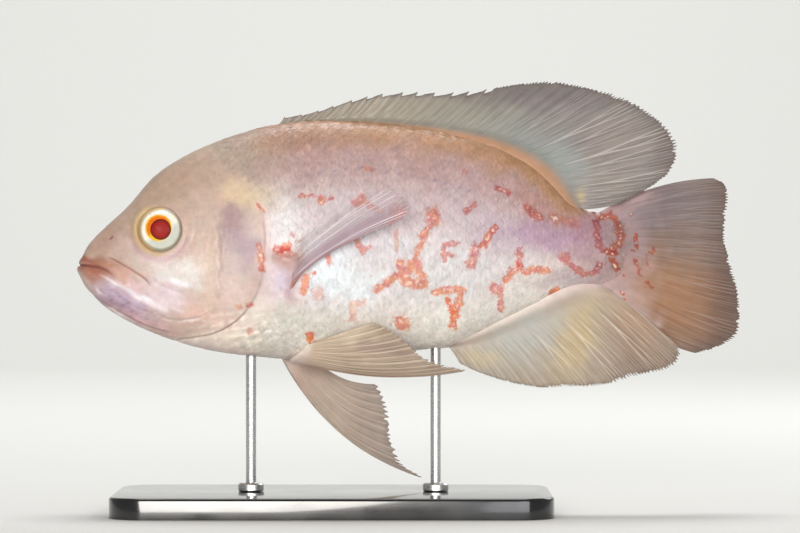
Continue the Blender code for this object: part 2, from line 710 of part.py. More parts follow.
def build_trunk(parts, cutters):
    """The trunk behind the head's end and the tail stalk, not yet bent, and the surface of both."""
    front = np.concatenate([np.arange(-0.108, -0.050, 0.0040), np.linspace(-0.050, TRUNK_END_X, 21)])
    rear = np.linspace(TRUNK_END_X + GAP, STALK_END_X, 9)
    trunk = add_object("trunk", skin_mesh("trunk", front, 36), parts, "albino_skin")
    boolean(trunk, prism("trunk_cut", grown(head_outline(), GAP), -0.05, 0.05, cutters), "DIFFERENCE")
    keep_largest(trunk)
    stalk = add_object("tail_stalk", skin_mesh("tail_stalk", rear, 36), parts, "albino_skin")
    return trunk, stalk, surface_of(skin_mesh("body", np.concatenate([front, rear]), 36))


# Fins


def fin_mesh(name, place, half, columns, rows, seat, laid=0):
    """A closed thin plate. place(u, v) gives its middle, half(u, v) half its thickness, and
    seat(point) moves a root point onto what the fin grows from. Both faces have like triangles.
    With laid, the root lies along the flank on that side, and the fin peels off it."""
    us, vs = np.asarray(columns, float), np.asarray(rows, float)
    u, v = np.meshgrid(us, vs, indexing="ij")
    middle = place(u, v)
    step = 1e-4
    along = place(np.clip(u + step, 0, 1), v) - place(np.clip(u - step, 0, 1), v)
    out = place(u, np.clip(v + step, 0, 1)) - place(u, np.clip(v - step, 0, 1))
    normal = np.cross(along, out)
    normal /= np.linalg.norm(normal, axis=-1, keepdims=True)
    if laid:
        outward = np.sign(normal[..., 1].mean()) * laid
        normal[:, 0] = -outward * out[:, 0] / np.linalg.norm(out[:, 0], axis=-1, keepdims=True)
    thick = half(u, v)[..., None]
    faces_at = [middle + normal * thick, middle - normal * thick]
    for side in faces_at:
        for i in range(len(us)):
            side[i, 0] = seat(side[i, 0])
    n, m = len(us), len(vs)
    points = np.concatenate([side.reshape(-1, 3) for side in faces_at])
    back = n * m
    faces = []
    for i in range(n - 1):
        for j in range(m - 1):
            a, b, c, d = i * m + j, (i + 1) * m + j, (i + 1) * m + j + 1, i * m + j + 1
            faces += [(a, b, c), (a, c, d), (back + c, back + b, back + a), (back + d, back + c, back + a)]
    border = [i * m for i in range(n)] + [(n - 1) * m + j for j in range(1, m)]
    border += [i * m + m - 1 for i in range(n - 2, -1, -1)] + [j for j in range(m - 2, 0, -1)]
    for a, b in zip(border, border[1:] + border[:1]):
        faces += [(a, back + b, b), (a, back + a, back + b)]
    return face_out(mesh_from(name, points, faces))


def ray_columns(count, before=0.0, after=0.0):
    """Positions over 0 to 1 of every ray and of the middle of every membrane."""
    span = count - 1 + before + after
    marks = np.arange(0, count - 0.5, 0.5) + before
    ends = ([0.0] if before else []) + list(marks) + ([span] if after else [])
    return np.array(ends) / span


def on_ray(u, count, before=0.0, after=0.0):
    """1 on a ray and 0 midway between two."""
    span = count - 1 + before + after
    return np.abs((np.asarray(u) * span - before) % 1.0 - 0.5) * 2


def fan(roots, tips, bow, root_spread=1.0, tip_spread=1.0):
    """place(u, v) in x and z: rays from the roots to the tips, bowed to their left at their middle."""

    def place(u, v):
        root, tip = roots(np.asarray(u) ** root_spread), tips(np.asarray(u) ** tip_spread)
        along = tip - root
        across = np.stack([-along[..., 1], along[..., 0]], axis=-1)
        across /= np.linalg.norm(across, axis=-1, keepdims=True)
        lift = (bow[0] + (bow[1] - bow[0]) * u) * 4 * v * (1 - v)
        return root + along * v[..., None] + across * lift[..., None]

    return place


def plate_half(fin, before=0.0, after=0.0):
    """Half thickness: a fleshy root, a thin membrane, and a ridge on every ray."""

    def half(u, v):
        flesh = (fin["root_half"] - MEMBRANE_HALF) * (1 - smooth_step(0, fin["root_share"], v))
        ridges = fin["ray_half"] * on_ray(u, fin["rays"], before, after) * (1 - 0.75 * v)
        return MEMBRANE_HALF + flesh + ridges

    return half


def median_fin(name, body, side, fin, wave, parts):
    """A fin on the fish's middle plane, over the back (side 1) or under the belly (side -1)."""
    line = back_line if side > 0 else belly_line
    dense = np.linspace(*fin["root_x"], 30)
    roots = path_through(np.stack([dense, line(dense)], axis=1))
    spreads = fin.get("root_spread", 1.0), fin.get("tip_spread", 1.0)
    flat = fan(roots, path_through(fin["tips"]), fin["bow"], *spreads)
    before, after = fin.get("before", 0.0), fin.get("after", 0.0)

    def place(u, v):
        kept = 1 - fin["notch"] * (1 - on_ray(u, fin["rays"], before, after)) * (v > 0.9)
        at = flat(u, v * kept)
        return np.stack([at[..., 0], wave(u, v), at[..., 1]], axis=-1)

    half = plate_half(fin, before, after)
    columns = ray_columns(fin["rays"], before, after)
    mesh = fin_mesh(name, place, half, columns, fin["rows"], lambda point: on_ridge(body, point, side))
    return add_object(name, mesh, parts, "fin_membrane")


def build_median_fins(body, parts):
    def soft_wave(u, v):
        return 0.0042 * v**1.5 * np.sin(1.5 + 2.6 * u) - 0.0030 * v * u

    def spiny_wave(u, v):
        """Upright in front, and bent like the soft part where it meets it."""
        return 0.0006 * v * np.sin(7 * u) * (1 - u) + soft_wave(0.0, v) * smooth_step(0.4, 1.0, u)

    def anal_wave(u, v):
        """Leans to the left, and its last rays pass beside the tail fin."""
        aside = smooth_step(0.7, 1.0, u) * smooth_step(0, 0.2, v)
        return -0.0030 * v**1.2 * (0.25 + u) - 0.0024 * aside

    return (
        median_fin("dorsal_fin_spiny", body, 1, SPINY_DORSAL, spiny_wave, parts),
        median_fin("dorsal_fin_soft", body, 1, SOFT_DORSAL, soft_wave, parts),
        median_fin("anal_fin", body, -1, ANAL, anal_wave, parts),
    )


def caudal_half(u, v):
    """As thick as the stalk's end at the root, then a membrane with ridges."""
    z = CAUDAL_ROOTS[0][1] + (CAUDAL_ROOTS[1][1] - CAUDAL_ROOTS[0][1]) * np.asarray(u)
    stalk = flank(np.full_like(z, STALK_END_X), z) * 0.97
    flesh = np.clip(stalk - MEMBRANE_HALF, 0, None) * (1 - smooth_step(-0.1, 0.42, v)) / 0.9
    ridges = 0.00035 * on_ray(u, CAUDAL_RAYS) * (1 - 0.75 * v)
    return MEMBRANE_HALF + flesh + ridges


def build_caudal_fin(parts):
    flat = fan(path_through(CAUDAL_ROOTS), path_through(CAUDAL_TIPS), CAUDAL_BOW)

    def place(u, v):
        kept = 1 - 0.02 * (1 - on_ray(u, CAUDAL_RAYS)) * (v > 0.9)
        at = flat(u, v * kept)
        y = -0.0036 * v**1.6 * np.cos(math.pi * u) + 0.0012 * v * np.sin(3 * math.pi * u)
        return np.stack([at[..., 0], y, at[..., 1]], axis=-1)

    def seat(point):
        return (CAUDAL_ROOTS[0][0], point[1], point[2])

    rows = (0, 0.09, 0.2, 0.34, 0.5, 0.68, 0.86, 1.0)
    mesh = fin_mesh("caudal_fin", place, caudal_half, ray_columns(CAUDAL_RAYS), rows, seat)
    return add_object("caudal_fin", mesh, parts, "fin_membrane")


def paired_fin(name, body, side, fin, parts):
    """A fin on the flank (side -1 is the left). Its tips stand off from the flank by tips_off, or from
    the fish's middle by spread, from the first ray to the last."""
    flat = fan(path_through(fin["roots"]), path_through(fin["tips"]), fin["bow"])
    half = plate_half(fin)
    reach = fin.get("tips_off") or fin["spread"]
    reach = line_through(tuple(zip(np.linspace(0, 1, len(reach)), reach)))

    def place(u, v):
        kept = 1 - fin["notch"] * (1 - on_ray(u, fin["rays"])) * (v > 0.9)
        at = flat(u, v * kept)
        out = flank(at[..., 0], at[..., 1]) + (3 * GAP + half(u, v)) * smooth_step(0, 0.08, v)
        if "tips_off" in fin:
            out = out + reach(u) * v**1.15
        else:
            root = flat(u, np.zeros_like(v))
            start = flank(root[..., 0], root[..., 1])
            out = np.maximum(out, start + (reach(u) - start) * v**0.8)
        return np.stack([at[..., 0], side * out, at[..., 1]], axis=-1)

    columns = ray_columns(fin["rays"])
    mesh = fin_mesh(name, place, half, columns, fin["rows"], lambda point: on_flank(body, point), side)
    return shade(add_object(name, mesh, parts, "fin_membrane"))


def build_paired_fins(body, parts):
    for side, hand in ((-1, "left"), (1, "right")):
        paired_fin(f"pectoral_fin_{hand}", body, side, PECTORAL, parts)
    paired_fin("pelvic_fin_left", body, -1, LEFT_PELVIC, parts)
    paired_fin("pelvic_fin_right", body, 1, RIGHT_PELVIC, parts)


# The stand


def build_base(parts):
    bm = bmesh.new()
    bmesh.ops.create_cube(bm, size=1.0)
    bmesh.ops.scale(bm, vec=(BASE_LENGTH, BASE_WIDTH, BASE_THICKNESS), verts=bm.verts)
    upright = [e for e in bm.edges if abs(e.verts[0].co.z - e.verts[1].co.z) > BASE_THICKNESS / 2]
    bmesh.ops.bevel(bm, geom=upright, offset=BASE_CORNER, segments=5, profile=0.5, affect="EDGES")
    top = max(bm.faces, key=lambda face: face.calc_center_median().z)
    rim = list(top.edges)
    bmesh.ops.bevel(bm, geom=rim, offset=BASE_EDGE, segments=3, profile=0.5, affect="EDGES")
    mesh = bpy.data.meshes.new("stand_base")
    bm.to_mesh(mesh)
    bm.free()
    obj = add_object("stand_base", mesh, parts, "black_acrylic")
    obj.location = (BASE_X, 0, BASE_THICKNESS / 2)
    return shade(obj)


def build_rod(name, x, parts):
    """A rod with a collar at its foot, turned, up to just under the belly."""
    foot = BASE_THICKNESS + GAP
    reach = np.linspace(x - ROD_RADIUS, x + ROD_RADIUS, 9)
    top = float(belly_line(reach).min()) - GAP - foot
    collar = [(COLLAR_RADIUS - COLLAR_CHAMFER, COLLAR_HEIGHT), (COLLAR_RADIUS, COLLAR_HEIGHT - COLLAR_CHAMFER)]
    profile = [(0, top), (ROD_RADIUS, top), (ROD_RADIUS, COLLAR_HEIGHT), *collar, (COLLAR_RADIUS, 0), (0, 0)]
    mesh = mesh_from(name, [(r, 0, z) for r, z in profile], [])
    mesh.edges.add(len(profile) - 1)
    for i, edge in enumerate(mesh.edges):
        edge.vertices = (i, i + 1)
    obj = add_object(name, mesh, parts, "brushed_steel")
    screw = obj.modifiers.new("turn", "SCREW")
    screw.steps = screw.render_steps = ROD_STEPS
    screw.use_merge_vertices = True
    screw.merge_threshold = 0.00005
    obj.location = (x, 0, foot)
    return obj


def main():
    clear_scene()
    parts = new_collection("Oscar fish")
    cutters = new_collection("Cutters")
    build_head(parts, cutters)
    trunk, stalk, body = build_trunk(parts, cutters)
    build_paired_fins(body, parts)
    for obj in (trunk, stalk, build_caudal_fin(parts), *build_median_fins(body, parts)):
        shade(swing(obj))
    build_base(parts)
    for name, x in ROD_XS.items():
        build_rod(name, x, parts)


main()
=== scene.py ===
import math
from functools import partial

import bmesh
import bpy
import numpy as np
from mathutils import Matrix, Vector


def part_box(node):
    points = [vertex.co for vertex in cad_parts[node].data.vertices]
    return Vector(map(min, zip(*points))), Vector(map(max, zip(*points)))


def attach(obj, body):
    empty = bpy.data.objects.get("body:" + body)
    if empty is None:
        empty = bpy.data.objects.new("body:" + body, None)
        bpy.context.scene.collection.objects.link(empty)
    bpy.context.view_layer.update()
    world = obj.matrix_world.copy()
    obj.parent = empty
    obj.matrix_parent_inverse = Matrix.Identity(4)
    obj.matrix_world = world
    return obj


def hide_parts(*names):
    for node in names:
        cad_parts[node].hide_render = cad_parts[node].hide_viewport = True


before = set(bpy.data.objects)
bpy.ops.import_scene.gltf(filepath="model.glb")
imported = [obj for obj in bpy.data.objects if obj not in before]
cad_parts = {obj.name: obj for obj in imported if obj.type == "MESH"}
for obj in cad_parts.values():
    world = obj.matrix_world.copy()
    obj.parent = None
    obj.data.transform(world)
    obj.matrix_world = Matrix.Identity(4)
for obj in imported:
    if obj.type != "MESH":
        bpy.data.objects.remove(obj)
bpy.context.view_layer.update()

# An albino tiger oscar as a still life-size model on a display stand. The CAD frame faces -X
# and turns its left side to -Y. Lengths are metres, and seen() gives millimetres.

dice = np.random.default_rng(7)

view = {
    "distance": 1.400,  # far enough for the calm side view of a long lens
    "aimX": -0.0039, "aimZ": 0.0957,
    "sensor": 36.0, "lens": 161.5,
}


def makeCamera():
    data = bpy.data.cameras.new("camera")
    data.sensor_width = view["sensor"]
    data.lens = view["lens"]
    data.clip_start, data.clip_end = 0.05, 20.0
    camera = bpy.data.objects.new("camera", data)
    camera.location = (view["aimX"], -view["distance"], view["aimZ"])
    camera.rotation_euler = (math.pi / 2, 0, 0)
    bpy.context.scene.collection.objects.link(camera)
    bpy.context.scene.camera = camera


makeCamera()
print("camera set")


# Small tools


def lineThrough(points):  # a smooth function of the first coordinate
    xs, ys = np.array(points, float).T
    slopes = np.gradient(ys, xs)

    def value(x):
        x = np.clip(np.asarray(x, float), xs[0], xs[-1])
        i = np.clip(np.searchsorted(xs, x) - 1, 0, len(xs) - 2)
        step = xs[i + 1] - xs[i]
        t = (x - xs[i]) / step
        return (
            (2 * t**3 - 3 * t**2 + 1) * ys[i] + (t**3 - 2 * t**2 + t) * step * slopes[i]
            + (3 * t**2 - 2 * t**3) * ys[i + 1] + (t**3 - t**2) * step * slopes[i + 1]
        )

    return value


def pathThrough(points):  # a smooth path over 0 to 1, evenly along its length
    points = np.array(points, float)
    steps = np.linalg.norm(np.diff(points, axis=0), axis=1)
    share = np.concatenate([[0.0], np.cumsum(steps)]) / steps.sum()
    sides = [lineThrough(np.stack([share, side], axis=1)) for side in points.T]
    return lambda t: np.stack([side(t) for side in sides], axis=-1)


def smoothStep(low, high, value):
    t = np.clip((np.asarray(value, float) - low) / (high - low), 0.0, 1.0)
    return t * t * (3 - 2 * t)


def fade(low, high, value):
    return 1 - smoothStep(low, high, value)


def hill(value, reach):
    return np.exp(-(value / reach) ** 2)


def toLinear(hexColour):  # an sRGB hex value as linear RGB
    parts = np.array([int(hexColour[i:i + 2], 16) for i in (1, 3, 5)]) / 255
    return np.where(parts <= 0.04045, parts / 12.92, ((parts + 0.055) / 1.055) ** 2.4)


def blendTo(colours, hexColour, weight):  # lays a colour over others by a weight of 0 to 1
    weight = np.clip(weight, 0, 1)[..., None]
    return colours * (1 - weight) + toLinear(hexColour) * weight


def blendAll(colours, layers):
    for hexColour, weight in layers:
        colours = blendTo(colours, hexColour, weight)
    return colours


def seen(x, y, z):  # where the camera sees a point, in mm on the fish's middle plane
    scale = view["distance"] / (view["distance"] + y)
    across = view["aimX"] + (x - view["aimX"]) * scale
    up = view["aimZ"] + (z - view["aimZ"]) * scale
    return across * 1000, up * 1000


def nearPath(points, x, z, smooth=True, count=36):
    # signed distance to a path, more than 0 on its left, and how far along it the nearest place is
    path = pathThrough(points)(np.linspace(0, 1, count)) if smooth else np.array(points, float)
    starts, ways = path[:-1], np.diff(path, axis=0)
    best, signed, along = np.full(x.shape, 1e9), np.zeros(x.shape), np.zeros(x.shape)
    for i, (start, way) in enumerate(zip(starts, ways)):
        dx, dz = x - start[0], z - start[1]
        t = np.clip((dx * way[0] + dz * way[1]) / (way @ way), 0, 1)
        off = np.hypot(dx - t * way[0], dz - t * way[1])
        closer = off < best
        best = np.where(closer, off, best)
        signed = np.where(closer, np.sign(way[0] * dz - way[1] * dx) * off, signed)
        along = np.where(closer, (i + t) / len(ways), along)
    return signed, along


def meshFrom(name, points, faces):
    mesh = bpy.data.meshes.new(name)
    mesh.from_pydata(np.asarray(points).tolist(), [], [list(face) for face in faces])
    mesh.update()
    mesh.shade_smooth()
    return mesh


def giveNumbers(mesh, name, values):  # a number, a vector or a colour for each point
    kinds = {1: ("FLOAT", "value"), 3: ("FLOAT_VECTOR", "vector"), 4: ("FLOAT_COLOR", "color")}
    kind, field = kinds[1 if values.ndim == 1 else values.shape[-1]]
    mesh.attributes.new(name, kind, "POINT")
    mesh.attributes[name].data.foreach_set(field, np.ravel(values).astype(np.float32))


def giveHue(mesh, colours):
    colours = colours.reshape(-1, 3)
    giveNumbers(mesh, "hue", np.concatenate([colours, np.ones((len(colours), 1))], axis=1))


def pointsOf(mesh):
    points = np.empty(len(mesh.vertices) * 3, np.float32)
    mesh.vertices.foreach_get("co", points)
    return points.reshape(-1, 3).astype(float)


def addPiece(name, mesh, material, *nodes):
    piece = bpy.data.objects.new(name, mesh)
    bpy.context.scene.collection.objects.link(piece)
    mesh.materials.clear()
    mesh.materials.append(material)
    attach(piece, "root")
    if nodes:
        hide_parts(*nodes)
    return piece


def addNode(tree, kind, inputs=None, output=0, **settings):  # gives one of the new node's outputs
    made = tree.nodes.new(kind if "Node" in kind else "ShaderNode" + kind)
    for key, value in settings.items():
        setattr(made, key, value)
    for key, value in (inputs or {}).items():
        if isinstance(value, bpy.types.NodeSocket):
            tree.links.new(value, made.inputs[key])
        else:
            made.inputs[key].default_value = value
    return made.outputs[output] if made.outputs else made


def layColour(add, below, paint, mask, low, high, weight=1.0, blend="MIX"):
    # lays a colour over another where a mask rises from low to high
    share = add("MapRange", {
        "Value": mask, "From Min": low, "From Max": high, "To Max": weight}, interpolation_type="SMOOTHSTEP")
    below, paint = ((*toLinear(part), 1) if isinstance(part, str) else part for part in (below, paint))
    return add("Mix", {0: share, 6: below, 7: paint}, 2, data_type="RGBA", blend_type=blend)


noiseRun = {"From Min": 0.3, "From Max": 0.7}  # where most of a noise lies


def shadeBy(add, colour, noise, dark, light):  # darker where a noise is low, lighter where it's high
    colour = tuple(toLinear(colour)) if isinstance(colour, str) else colour
    shade = add("MapRange", noiseRun | {"Value": noise, "To Min": dark, "To Max": light})
    return add("VectorMath", {0: colour, "Scale": shade}, operation="SCALE")


def giveSurface(add, shader, colour, rough, roughFrom, roughTo, height, depth):
    # links a colour, a roughness that follows a noise, and a fine relief of real depth
    roughness = add("MapRange", noiseRun | {"Value": rough, "To Min": roughFrom, "To Max": roughTo})
    bump = add("Bump", {"Strength": 0.35, "Distance": depth, "Height": height})
    for name, value in (("Base Color", colour), ("Roughness", roughness), ("Normal", bump)):
        shader.id_data.links.new(value, shader.inputs[name])


def newMaterial(name, fixed):  # a Principled material with its constant values set
    material = bpy.data.materials.new(name)
    material.use_nodes = True
    shader = material.node_tree.nodes["Principled BSDF"]
    for key, value in fixed.items():
        shader.inputs[key].default_value = value
    return material, partial(addNode, material.node_tree), shader


# The body's lines, from the snout to where scales end on the tail fin

body = {
    "snoutX": -0.130, "endX": 0.095, "noseRadius": 0.004,
    "back": (
        (-0.130, 0.0987), (-0.128, 0.1008), (-0.125, 0.1048), (-0.120, 0.1100),
        (-0.110, 0.1193), (-0.100, 0.1307), (-0.090, 0.1377), (-0.080, 0.1428),
        (-0.070, 0.1466), (-0.060, 0.1496), (-0.045, 0.1523), (-0.025, 0.1527),
        (0.000, 0.1508), (0.020, 0.1470), (0.038, 0.1410), (0.048, 0.1352),
        (0.056, 0.1278), (0.062, 0.1216), (0.067, 0.1184), (0.078, 0.1174),
        (0.086, 0.1192), (0.102, 0.1232),
    ),
    "belly": (
        (-0.130, 0.0907), (-0.128, 0.0888), (-0.125, 0.0858), (-0.120, 0.0808),
        (-0.110, 0.0743), (-0.100, 0.0696), (-0.090, 0.0660), (-0.078, 0.0629),
        (-0.062, 0.0606), (-0.047, 0.0593), (-0.030, 0.0588), (-0.014, 0.0600),
        (0.000, 0.0624), (0.008, 0.0635), (0.013, 0.0638), (0.020, 0.0665),
        (0.034, 0.0734), (0.048, 0.0802), (0.058, 0.0853), (0.064, 0.0873),
        (0.071, 0.0875), (0.078, 0.0864), (0.086, 0.0836), (0.102, 0.0778),
    ),
    "halfWidth": (
        (-0.130, 0.0066), (-0.125, 0.0092), (-0.118, 0.0117), (-0.108, 0.0150),
        (-0.096, 0.0181), (-0.080, 0.0207), (-0.064, 0.0224), (-0.046, 0.0230),
        (-0.020, 0.0222), (0.005, 0.0196), (0.030, 0.0146), (0.050, 0.0100),
        (0.064, 0.0070), (0.078, 0.0052), (0.084, 0.0033), (0.089, 0.0016), (0.093, 0.0005), (0.095, 0.0001),
    ),
    "widest": (
        (-0.130, 0.0948), (-0.118, 0.0945), (-0.100, 0.0975), (-0.080, 0.1000),
        (-0.050, 0.1020), (0.000, 0.1035), (0.040, 0.1045), (0.078, 0.1025), (0.102, 0.1005),
    ),
    "backPower": ((-0.130, 2.2), (-0.100, 2.15), (-0.070, 1.95), (-0.030, 1.8), (0.078, 1.9)),
    "bellyPower": ((-0.130, 2.3), (-0.100, 2.4), (-0.060, 2.15), (0.000, 2.0), (0.078, 1.9)),
    "swellings": (  # centre x and z, reach in x and z, height
        (-0.0970, 0.1098, 0.0130, 0.0120, -0.0007),  # the hollow round the eye
        (-0.0900, 0.0930, 0.0110, 0.0080, 0.0011),  # the cheek
        (-0.0860, 0.0780, 0.0120, 0.0055, 0.0009),  # the jaw muscle
        (-0.1150, 0.0840, 0.0100, 0.0050, 0.0008),  # the side of the lower jaw
        (-0.1120, 0.1010, 0.0080, 0.0040, -0.0005),  # over the upper lip
        (-0.0480, 0.0930, 0.0070, 0.0130, 0.0006),  # the shoulder
    ),
    "swayFrom": 0.012, "swayTo": 0.130, "sway": 0.0080,
}
lines = {
    key: lineThrough(body[key])
    for key in ("back", "belly", "halfWidth", "widest", "backPower", "bellyPower")
}


def sectionAt(x):
    t = np.clip((x - body["snoutX"]) / body["noseRadius"], 0.0, 1.0)
    rounding = np.sqrt(np.clip(1 - (1 - t) ** 2, 0.0, 1.0))
    middle = lines["widest"](x)
    top = middle + (lines["back"](x) - middle) * rounding
    bottom = middle + (lines["belly"](x) - middle) * rounding
    return top, middle, bottom, lines["halfWidth"](x) * rounding


def swelling(x, z):
    total = 0.0
    for centreX, centreZ, reachX, reachZ, height in body["swellings"]:
        total = total + height * np.exp(-((x - centreX) / reachX) ** 2 - ((z - centreZ) / reachZ) ** 2)
    return total


def roundBody(x, angle, inset=0.0):  # a point at an angle from the back down the left side
    top, middle, bottom, wide = sectionAt(x)
    rise = np.cos(angle)
    power = np.where(rise >= 0, lines["backPower"](x), lines["bellyPower"](x))
    reach = np.where(rise >= 0, top - middle, middle - bottom) - inset
    z = middle + reach * np.sign(rise) * np.abs(rise) ** (2 / power)
    share = np.abs(np.sin(angle)) ** (2 / power)
    y = share * (wide - inset) + np.minimum(1.0, 2 * share) * swelling(x, z)
    return np.stack([x + 0 * z, -np.sign(np.sin(angle)) * np.clip(y, 0, None), z], axis=-1)


def flank(x, z):  # half the body's thickness at x and z, or 0 outside its outline
    top, middle, bottom, wide = sectionAt(x)
    up = z >= middle
    power = np.where(up, lines["backPower"](x), lines["bellyPower"](x))
    reach = np.where(up, top - middle, middle - bottom)
    share = np.clip(1 - np.clip(np.abs(z - middle) / reach, 0, 1) ** power, 0, 1) ** (1 / power)
    return share * wide + np.minimum(1.0, 2 * share) * swelling(x, z)


def sway(x):
    share = np.clip(x - body["swayFrom"], 0, None) / (body["swayTo"] - body["swayFrom"])
    return body["sway"] * share**1.8


tailFan = {  # the tail fin's wave, by the place along and across its fan
    "startX": 0.0745, "length": 0.052, "topZ": 0.1012, "lean": 0.10, "rootWidth": 0.030, "widening": 0.72,
    "bend": -0.0036, "ripple": 0.0012,
}


def tailCurl(x, z):  # the skin over the tail fin's root follows it too
    past = x - tailFan["startX"]
    along = np.clip(past / tailFan["length"], 0, 1)
    width = tailFan["rootWidth"] + tailFan["widening"] * np.clip(past, 0, None)
    across = np.clip(0.5 - (z - tailFan["topZ"] + tailFan["lean"] * past) / width, 0, 1)
    bend = tailFan["bend"] * along**1.6 * np.cos(math.pi * across)
    return bend + tailFan["ripple"] * along * np.sin(3 * math.pi * across)


def swing(points, curled=False):
    moved = points.copy()
    moved[..., 1] += sway(points[..., 0])
    if curled:
        moved[..., 1] += tailCurl(points[..., 0], points[..., 2])
    return moved


def ripples(x, z, size, seed):  # a smooth wander of about -1 to 1 over lengths of size
    own = np.random.default_rng(seed)
    total = 0 * x
    waves, circle = 7, 6.28
    turns, phases = own.uniform(0, circle, waves), own.uniform(0, circle, waves)
    for turn, phase, stretch in zip(turns, phases, own.uniform(0.6, 1.7, waves)):
        total = total + np.sin((x * math.cos(turn) + z * math.sin(turn)) * circle / (size * stretch) + phase)
    return total / 3.2


def seenAt(points):  # both sides as the left one is seen
    return seen(points[..., 0], sway(points[..., 0]) - np.abs(points[..., 1]), points[..., 2])


# The skin's relief and its folds, in mm as the camera sees the left side

creases = (
    # the groove's depth and width, how much higher its left side is and over what reach, how dark
    # the painted shade in it is and how wavy it is, then its path
    (0.42, 0.50, 0.45, 4.0, 0.75, 0, (  # the maxilla
        (-119.4, 99.9), (-116, 98.6), (-113, 97.0), (-107, 93.4), (-102.4, 89.8), (-101.0, 87.2))),
    (0.38, 0.95, 0.25, 3.5, 0.32, 0, (  # the cheek's furrow
        (-101.0, 91.0), (-97.5, 88.8), (-94, 87.2), (-90, 86.0), (-87, 85.4))),
    (0.22, 0.42, -0.10, 3.0, 0.30, 0.5, (  # the edge before the gill cover
        (-76.2, 116), (-75.0, 107), (-74.5, 100), (-74.4, 90), (-74.7, 82.5), (-76.6, 79))),
    (0.30, 0.60, -0.30, 3.0, 0.25, 0, (  # below the jaw's muscle
        (-76.6, 79), (-80, 76.6), (-86, 75.0), (-92, 74.7), (-97, 76.2), (-100.5, 79.4))),
    (0.36, 0.45, 0.40, 2.5, 0.62, 0, (  # the jaw's lower line
        (-127, 87.6), (-123, 84.4), (-119, 81.6), (-113.5, 78.2), (-108, 75.2), (-102.5, 72.6),
        (-97, 70.7), (-91, 69.4))),
    (0.28, 0.55, 0.12, 2.5, 0.20, 0, (  # a fold on the jaw
        (-114, 83.6), (-109, 80.6), (-104, 78.6), (-99, 77.2))),
    (0.26, 0.60, 0.15, 2.5, 0.15, 0, (  # a fold below the lip
        (-117.4, 89.2), (-112, 87.0), (-107.5, 84.6), (-103.6, 83.4))),
    (0.22, 0.45, -0.12, 2.0, 0.25, 0, (  # the shoulder
        (-55.4, 124), (-54.2, 117), (-53.8, 110), (-54.0, 103), (-54.6, 97))),
    (0.12, 0.80, 0.0, 2.0, 0.10, 0, (  # the temple
        (-87.2, 121), (-84.6, 117), (-83.8, 112), (-84.8, 106), (-87.6, 101.6))),
)
mouth = {
    "path": ((-140.0, 96.8), (-129.5, 96.4), (-124.6, 95.9), (-120.4, 95.0), (-117.4, 93.5), (-115.4, 91.7)),
    "upperLip": (0.85, 1.6, 1.20),  # height, distance from the mouth's line, reach
    "lowerLip": (1.00, -2.1, 1.50),
    "groove": (1.05, 0.36),
    "flatX": -0.1225, "flat": 0.35,  # the lips' share of their height at the snout's end
    "tuckX": -0.1240, "tuck": 0.0005,  # the snout's end is drawn back, so that the lips reach the frame's end
}
gillEdge = {
    "path": (
        (-73.5, 160), (-71.6, 147), (-67.6, 134), (-62.4, 124), (-58.4, 118.3), (-56.9, 111.2),
        (-57.0, 100), (-58.4, 89), (-62.0, 81.2), (-66.8, 75.6), (-72.3, 71.8), (-78.8, 69.1),
        (-86, 68.0), (-91, 67.2), (-95.4, 63.4), (-98.0, 52.0),
    ),
    "lift": 0.0010, "fade": (118, 133),  # it stands out below, and runs into the nape above
}
eye = {
    "x": -0.0960, "z": 0.1098, "radius": 0.0088, "halfDepth": 0.0072, "sunk": 0.0024,
    "corneaRadius": 0.0077, "corneaRise": 0.0007, "corneaThick": 0.00025, "yaw": 2.0, "pitch": 3.0,
    "irisRadius": 0.0075, "irisHeight": 0.00515, "pupilRadius": 0.0040, "pupilHeight": 0.0052,
    "rimRadius": 0.00845, "rimTuck": 0.00018, "rimRear": 0.0006, "rimFront": 0.0015,
    "socket": 0.016, "socketDepth": 0.0052,  # how far from the eye its fold reaches
}
nostrils = (  # x, z, long and short half width, turn, depth
    (-116.8, 106.9, 1.15, 0.62, 0.60, 0.0011),
    (-114.0, 108.1, 0.55, 0.40, 0.50, 0.0004),
)
lobe = ((-54.5, 98.2), (-50.0, 98.6), (-46.5, 97.4), (-45.0, 93.5), (-44.8, 89.0), (-45.2, 84.8))


def eyeRim(x, z):  # whether a point is near the eye, its angle, the fold's width, and how far its crest is
    radius, angle = np.hypot(x - eye["x"], z - eye["z"]), np.arctan2(z - eye["z"], x - eye["x"])
    half = eye["rimRear"] + (eye["rimFront"] - eye["rimRear"]) * (1 - np.cos(angle)) / 2
    crest = eye["rimRadius"] - eye["rimTuck"] * (1 + np.cos(angle)) + 0.9 * half
    return radius < eye["socket"], angle, half, radius - crest


def turnedBy(x, z, centreX, centreZ, turn):
    dx, dz = x - centreX, z - centreZ
    return dx * math.cos(turn) + dz * math.sin(turn), dz * math.cos(turn) - dx * math.sin(turn)


def patchWeight(x, z, centreX, centreZ, reachX, reachZ, turn, strength):
    a, b = turnedBy(x, z, centreX, centreZ, math.radians(turn))
    return strength * np.exp(-((a / reachX) ** 2 + (b / reachZ) ** 2) ** 1.3)


